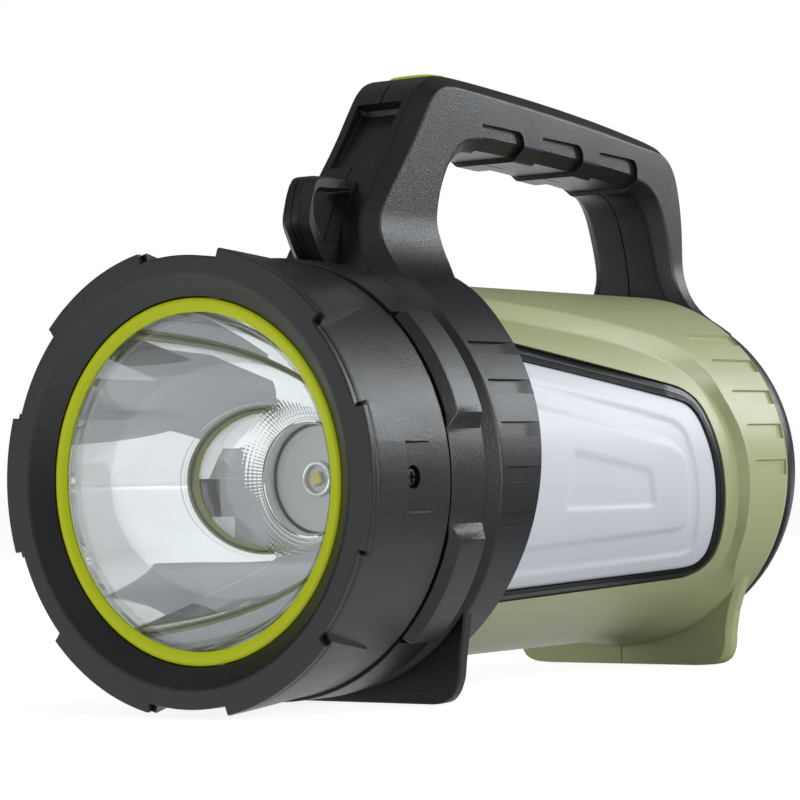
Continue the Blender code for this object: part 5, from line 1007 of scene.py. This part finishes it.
def makeMirror():
    m = mirror
    neck, base, lipRadius = m["neck"], m["neckStation"], mirrorRadius(m["lip"]) + m["lipWall"]
    stations = [m["lip"], m["lip"] + 1.1, m["lip"] + 2.2]
    stations += [m["front"] + (base - m["front"]) * i / m["rings"] for i in range(m["rings"] + 1)]
    inner = [(mirrorRadius(station), station) for station in stations]
    outer = [(radius + m["wall"], station) for radius, station in inner if station > m["flangeRear"] + m["wall"]]
    bead = [(neck - 0.15, base + 0.05), (neck - 0.45, base - 0.5), (neck - 0.95, base - 0.65),
            (m["collarBore"] + 0.15, base - 0.2), (m["collarBore"], base + 0.8)]
    loop = inner + bead + [(m["collarBore"], m["collarRear"]), (neck + m["wall"], m["collarRear"])] + outer[::-1]
    loop += [(mirrorRadius(m["flangeRear"]) + m["wall"], m["flangeRear"]), (m["flange"], m["flangeRear"]),
             (m["flange"], m["front"]), (lipRadius, m["front"]), (lipRadius, m["lip"])]
    finished("mirrorBowl", turnedMesh("mirrorForm", loop, 220, 42), "mirror_coating", ["reflector"], weighted=False)


# light source: pale disc, ring and chip
lightDisc = {"radius": 14.25, "front": 57.3, "rear": 58.9, "paleRadius": 12.7, "step": 0.25}
emitter = {"ring": 4.8, "bead": 0.55, "base": 57.0, "chip": 1.55, "chipFront": 55.9, "turn": (0.94, 0.34)}


def makeLightSource():
    d, e = lightDisc, emitter
    loop = [(0.02, d["front"] + d["step"]), (d["paleRadius"] - 0.3, d["front"] + d["step"]),
            (d["paleRadius"], d["front"]), (d["radius"], d["front"]), (d["radius"], d["rear"]), (0.02, d["rear"])]
    loop = softened(loop, [0, 0.15, 0.15, 0.2, 0.2, 0], 2, ends=False)
    finished("lightDisc", turnedMesh("discForm", loop, 96, 30), "white_board", ["led_board"])
    turns = [math.tau * step / 10 for step in range(10)]
    bead = [(e["ring"] - e["bead"] * (1 - math.cos(turn)), e["base"] - e["bead"] * (1 + math.sin(turn)) * 0.9)
            for turn in turns]
    finished("emitterRing", turnedMesh("emitterRing", bead, 64, 60), "mirror_coating", [])
    half, (straight, across) = e["chip"], e["turn"]
    chip = softened([(-half, -half), (half, -half), (half, half), (-half, half)], 0.3, 3)
    chip = [(x * straight - z * across, x * across + z * straight) for x, z in chip]
    layers = [[lampPoint(x * size, station, z * size) for x, z in chip]
              for station, size in ((e["base"], 1), (e["chipFront"] + 0.2, 1), (e["chipFront"], 0.88))]
    finished("lightChip", skinned("chipForm", layers, 30), "yellow_phosphor", ["led_emitter"])


# button: a crowned lime key, its collar and stem under the skin
button = {"front": 102.5, "rear": 119.5, "half": 7.0, "crest": 1.55, "top": 111.7, "base": 104.5, "flange": 1.3,
          "overhang": 1.5, "side": 1.1, "ends": 0.8, "stem": 2.0, "stemLow": 103.3, "stemSides": 24}
buttonCrown = ((102.5, 0.50), (103.6, 0.66), (106.75, 0.92), (111.85, 1.0), (116.67, 0.52), (119.5, -0.20))


def makeButton():
    b = button
    half, side, ends, base = b["half"], b["side"], b["ends"], b["base"] + b["flange"]
    stations = spread([b["front"], b["front"] + 0.25, b["front"] + ends, b["rear"] - ends, b["rear"] - 0.25,
                       b["rear"]], 1.0)
    columns = [math.sin(i * math.pi / 2 / 12) for i in range(-11, 12)]
    sections = []
    for station in stations:
        near = min(station - b["front"], b["rear"] - station)
        fade = 0.55 * (1 - min(1, near / ends)) ** 2
        top = b["top"] + b["crest"] * valueAt(buttonCrown, station) - fade
        loop = [(-half, base - 0.2), (-half, top - side)]
        loop += [(half * c, top - side * (abs(c) ** 9) - 0.18 * c * c) for c in columns]
        loop += [(half, top - side), (half, base - 0.2)]
        sections.append([lampPoint(x, station, rise) for x, rise in loop])
    bm = bmesh.new()
    skin(bm, sections)
    low = lampPoint(-half, b["front"] - b["overhang"], b["base"])
    high = lampPoint(half, b["rear"] + b["overhang"], base)
    flange = softened([(low.x, low.y), (high.x, low.y), (high.x, high.y), (low.x, high.y)], mm, 3)
    skin(bm, [[Vector((x, y, z)) for x, y in flange] for z in (low.z, high.z)])
    middle, turns = (b["front"] + b["rear"]) / 2, [k * math.tau / b["stemSides"] for k in range(b["stemSides"])]
    skin(bm, [[lampPoint(b["stem"] * math.cos(turn), middle + b["stem"] * math.sin(turn), rise) for turn in turns]
              for rise in (b["stemLow"], b["base"] + 0.4)])
    finished("powerButton", toMesh("buttonForm", bm, 40), "lime_plastic", ["power_button"], body="power_button")


# screws, all of one pan-head shape, placed by a node tree
coverScrews = {"circle": 40.1, "seat": 230.0, "head": 2.4, "height": 1.45, "shank": 1.2, "reach": 7.0, "count": 4}
sideScrews = {"seat": 55.3, "head": 2.6, "height": 1.6, "shank": 1.3, "reach": 5.2}
caseScrews = {"seat": 11.4, "head": 2.9, "height": 1.75, "shank": 1.3, "reach": 12.0,
              "places": ((99.406, 83.2165), (209.532, 93.6046), (226.271, 67.02))}


class ShapeTree(Maker):
    def __init__(self, name, material, **kinds):  # the tree's named inputs, each with its kind
        self.tree = bpy.data.node_groups.new(name, "GeometryNodeTree")
        self.material = material
        self.names = {}
        for socket, kind in kinds.items():
            item = self.tree.interface.new_socket(socket, in_out="INPUT", socket_type="NodeSocket" + kind)
            self.names[socket] = item.identifier
        self.tree.interface.new_socket("shape", in_out="OUTPUT", socket_type="NodeSocketGeometry")
        entry = self.add("NodeGroupInput")
        self.given = {socket: entry.output(socket) for socket in kinds}

    def close(self, shape):
        whole = self.add("GeometryNodeRealizeInstances", {}, {0: shape})
        whole = self.add("GeometryNodeSetMaterial", {}, {"Geometry": whole, "Material": self.material})
        self.add("NodeGroupOutput", {}, {0: whole})

    def built(self, values):
        holder = looseObject(self.tree.name, bpy.data.meshes.new(self.tree.name))
        nodes = holder.modifiers.new("shape", "NODES")
        nodes.node_group = self.tree
        for name, value in values.items():
            nodes[self.names[name]] = value
        mesh = evaluatedMesh(holder)
        bpy.data.objects.remove(holder)
        return mesh


def screwForm(kind):  # head towards +Z, its seat at zero, with a cross recess
    head, height, shank, reach = [kind[name] for name in ("head", "height", "shank", "reach")]
    profile = [(0.02, height), (head * 0.55, height), (head * 0.86, height * 0.82), (head, height * 0.42), (head, 0),
               (shank, 0), (shank, -reach), (0.02, -reach)]
    profile = softened(profile, [0, 0.3, 0.3, 0.2, 0.1, 0.05, 0.1, 0], 2, ends=False)
    turns = [math.tau * i / 40 for i in range(40)]
    sections = [[Vector((r * math.cos(turn), r * math.sin(turn), z)) * mm for r, z in profile] for turn in turns]
    form = looseObject("screwForm", skinned("screwForm", sections, 30, looped=True))
    arm, thin = head * 0.60, head * 0.15
    tools = []
    for name, upright in (("crossArm0", False), ("crossArm1", True)):
        layers = []
        for z, size in ((height - head * 0.45, 0.62), (height + 0.2, 1.0)):
            spots = [(-arm * size, -thin), (arm * size, -thin), (arm * size, thin), (-arm * size, thin)]
            layers.append([Vector((y, x, z) if upright else (x, y, z)) * mm for x, y in spots])
        tools.append(looseObject(name, skinned("crossArm", layers)))
    carve(form, tools)
    smoothed(form.data, 30)
    return form


def placedScrews(name, form, places):  # a node tree turns the screw to its axis and stands it at its place
    tree = ShapeTree(name + "Tree", looks["plated_steel"], screw="Object", turn="Vector", place="Vector")
    line = tree.add("GeometryNodeMeshLine", {"mode": "OFFSET"}, {"Count": 1, "Start Location": tree.given["place"]})
    shape = tree.add("GeometryNodeObjectInfo", {}, {"Object": tree.given["screw"]}, output="Geometry")
    tree.close(tree.add("GeometryNodeInstanceOnPoints", {}, {
        "Points": line, "Instance": shape, "Rotation": tree.given["turn"]}))
    return [tree.built({"screw": form, "turn": turn, "place": place}) for turn, place in places]


def screwRing(name, form, values):  # as many screws as asked for, evenly round a circle
    tree = ShapeTree(name + "Tree", looks["plated_steel"],
                     screw="Object", count="Int", radius="Float", turn="Vector", middle="Vector")
    given = tree.given
    circle = tree.add("GeometryNodeMeshCircle", {}, {"Vertices": given["count"], "Radius": given["radius"]})
    shape = tree.add("GeometryNodeObjectInfo", {}, {"Object": given["screw"]}, output="Geometry")
    copies = tree.add("GeometryNodeInstanceOnPoints", {}, {"Points": circle, "Instance": shape})
    tree.close(tree.add("GeometryNodeTransform", {}, {
        "Geometry": copies, "Rotation": given["turn"], "Translation": given["middle"]}))
    return tree.built({"screw": form, **values})


def makeScrews():
    quarter = math.pi / 2
    cover, side, case = coverScrews, sideScrews, caseScrews
    form = screwForm(cover)
    mesh = screwRing("coverScrews", form, {
        "count": cover["count"], "radius": cover["circle"] * mm, "turn": (-quarter, math.pi / 4, 0),
        "middle": lampPoint(0, cover["seat"], 0)})
    nodes = [f"cover_screw_{number}" for number in range(1, cover["count"] + 1)]
    finished("coverScrews", mesh, "plated_steel", nodes)
    bpy.data.objects.remove(form)
    form = screwForm(side)
    places = [((0, way * quarter, 0), lampPoint(way * side["seat"], barrel["screwStation"], 0)) for way in (1, -1)]
    for name, mesh in zip(("right", "left"), placedScrews("sideScrew", form, places)):
        finished(f"sideScrew_{name}", mesh, "plated_steel", [f"side_screw_{name}"])
    bpy.data.objects.remove(form)
    form = screwForm(case)
    places = [((0.3 * i, -quarter, 0), lampPoint(-case["seat"], *place)) for i, place in enumerate(case["places"])]
    for number, mesh in enumerate(placedScrews("caseScrew", form, places), 1):
        finished(f"caseScrew{number}", mesh, "plated_steel", [f"case_screw_{number}"])
    bpy.data.objects.remove(form)


for make in (makeBezel, makeTrimRing, makeLens, makeBarrel, makeBumpers, makeFrame, makeShells, makeTrims,
             makeDiffusers, makeMirror, makeLightSource, makeButton, makeScrews):
    make()
print("head, frame, shells and windows ready")

# camera at the photo's angle
camera = looseObject("camera", bpy.data.cameras.new("camera"))
camera.data.lens = 134.9
camera.data.sensor_width = 36
camera.data.clip_start = 0.01
right, up, back = (0.81339, 0.58126, -0.02315), (0.03256, -0.00576, 0.99945), (0.58081, -0.81370, -0.02361)
spot = (0.4854, -0.5842 - length / 2, 0.0016 + axisHeight)
camera.matrix_world = Matrix([(right[i], up[i], back[i], spot[i]) for i in range(3)] + [(0, 0, 0, 1)])
bpy.context.scene.camera = camera


# floor and world, both plain white to the camera, to reflections and through the lens
def seenPlainly(maker):
    ray = maker.add("ShaderNodeLightPath")
    return ray.atLeast(ray.output("Is Glossy Ray")).atLeast(ray.output("Is Transmission Ray"))


floorLook = {"colour": (0.44, 0.44, 0.44), "lift": 0.86, "reach": 9.0}
floorMaterial, maker = newMaterial("paleFloor")
seen = seenPlainly(maker)
plain = maker.add("ShaderNodeBsdfDiffuse", {}, {"Color": rgb(floorLook["colour"])})
lift = maker.add("ShaderNodeEmission", {}, {"Color": (1, 1, 1, 1), "Strength": seen * floorLook["lift"]})
maker.finish(maker.add("ShaderNodeAddShader", {}, {0: plain, 1: lift}))
bm = bmesh.new()
bmesh.ops.create_grid(bm, x_segments=4, y_segments=4, size=floorLook["reach"])
floor = looseObject("floor", plainMesh("floor", bm))
floor.data.materials.append(floorMaterial)

world = bpy.data.worlds.new("studio")
bpy.context.scene.world = world
maker = Maker(world)
sky = {"Color": (1, 1, 1, 1), "Strength": seenPlainly(maker) * 0.80 + 0.20}
maker.add("ShaderNodeOutputWorld", {}, {"Surface": maker.add("ShaderNodeBackground", {}, sky)})

# studio walls that only reflections see: dark at the left, grey behind the camera and at the back, pale at the right
walls = {"reach": 1.8, "top": 88, "step": 2, "colour": (0.95, 0.98, 1.0), "tones": (0.05, 0.14, 0.35, 0.72),
         "fan": {"from": 24, "to": 57, "step": 3, "near": 0.085, "far": 1.6, "middle": -0.117, "high": 0.0006},
         "cards": ((-0.11, 0.07, 3), (0.07, 0.6, 1)), "cardWidth": 0.6, "cardHigh": 0.0004}


def wallTone(around, high):  # which tone, or none where the pale surroundings show
    if high >= 62 or abs(around) >= 104:
        return 1
    if 33 <= around < 80 and high >= 30:
        return 3
    if around >= 46:
        return 0
    if around >= -12:
        return 2
    if around >= -50:
        return None if high < 32 else 2
    return 0 if high < 40 else 2


def wallPoint(around, high):
    flat = walls["reach"] * math.cos(high * deg)
    return flat * math.sin(around * deg), -flat * math.cos(around * deg), walls["reach"] * math.sin(high * deg)


bm = bmesh.new()
step = walls["step"]
corners = {(around, high): bm.verts.new(wallPoint(around, high))
           for around in range(-180, 181, step) for high in range(0, walls["top"] + 1, step)}
for around in range(-180, 180, step):
    for high in range(0, walls["top"], step):
        tone = wallTone(around, high)
        if tone is not None:
            over, side = high + step, around + step
            spots = ((around, high), (side, high), (side, over), (around, over))
            bm.faces.new([corners[spot] for spot in spots]).material_index = tone
fan = walls["fan"]  # cards on the floor, seen only in the bezel and the barrel
cards = []
for around in range(fan["from"], fan["to"], fan["step"]):
    after = around + fan["step"]
    spots = [(around, fan["near"]), (around, fan["far"]), (after, fan["far"]), (after, fan["near"])]
    cards.append(([(r * math.sin(a * deg), fan["middle"] - r * math.cos(a * deg), fan["high"]) for a, r in spots], 2))
# the two cards under and behind the lamp are painted shade: a darker floor beneath it, seen only in reflections
for low, high, tone in walls["cards"]:
    spots = [(0.0, low), (walls["cardWidth"], low), (walls["cardWidth"], high), (0.0, high)]
    cards.append(([(x, y, walls["cardHigh"]) for x, y in spots], tone))
for points, tone in cards:
    bm.faces.new([bm.verts.new(point) for point in points]).material_index = tone
studioWalls = looseObject("studioWalls", plainMesh("studioWalls", bm))
for number, tone in enumerate(walls["tones"]):
    wallMaterial, maker = newMaterial(f"wallTone{number}")
    maker.finish(maker.add("ShaderNodeEmission", {}, {"Color": rgb(walls["colour"]), "Strength": tone}))
    studioWalls.data.materials.append(wallMaterial)
studioWalls.visible_camera = studioWalls.visible_diffuse = studioWalls.visible_shadow = False
studioWalls.visible_transmission = False

lamps = {  # place, aimed at, width, height, watts, and whether reflections show it
    "rearLight": ((0.62, 1.18, 0.56), (0.0, 0.0, 0.07), 0.42, 0.46, 5.8, True),
    "backLight": ((0.30, 1.20, 0.84), (0.0, 0.0, 0.07), 0.3, 0.3, 0.6, True),
    "sideLight": ((1.25, 0.08, 0.38), (0.0, 0.0, 0.07), 0.6, 0.6, 9.6, True),
    "topLight": ((-0.2, 0.3, 1.2), (0.0, 0.0, 0.08), 0.8, 0.8, 1.0, True),
    "frontLight": ((-0.50, -1.15, 0.16), (0.0, -0.1, 0.06), 0.5, 0.3, 4.2, False),
    "leftLight": ((-1.10, 0.40, 0.60), (0.0, 0.0, 0.06), 0.6, 0.6, 2.6, False),
}
for name, (place, aim, wide, high, watts, glossy) in lamps.items():
    light = bpy.data.lights.new(name, "AREA")
    light.color = (0.94, 0.975, 1.0)
    light.shape, light.size, light.size_y, light.energy = "RECTANGLE", wide, high, watts
    lamp = looseObject(name, light)
    lamp.location = place
    lamp.rotation_euler = (Vector(aim) - Vector(place)).to_track_quat("-Z", "Y").to_euler()
    lamp.visible_camera = False
    lamp.visible_glossy = glossy
bpy.context.scene.view_settings.view_transform = "Standard"
print("camera, floor and lamps ready")
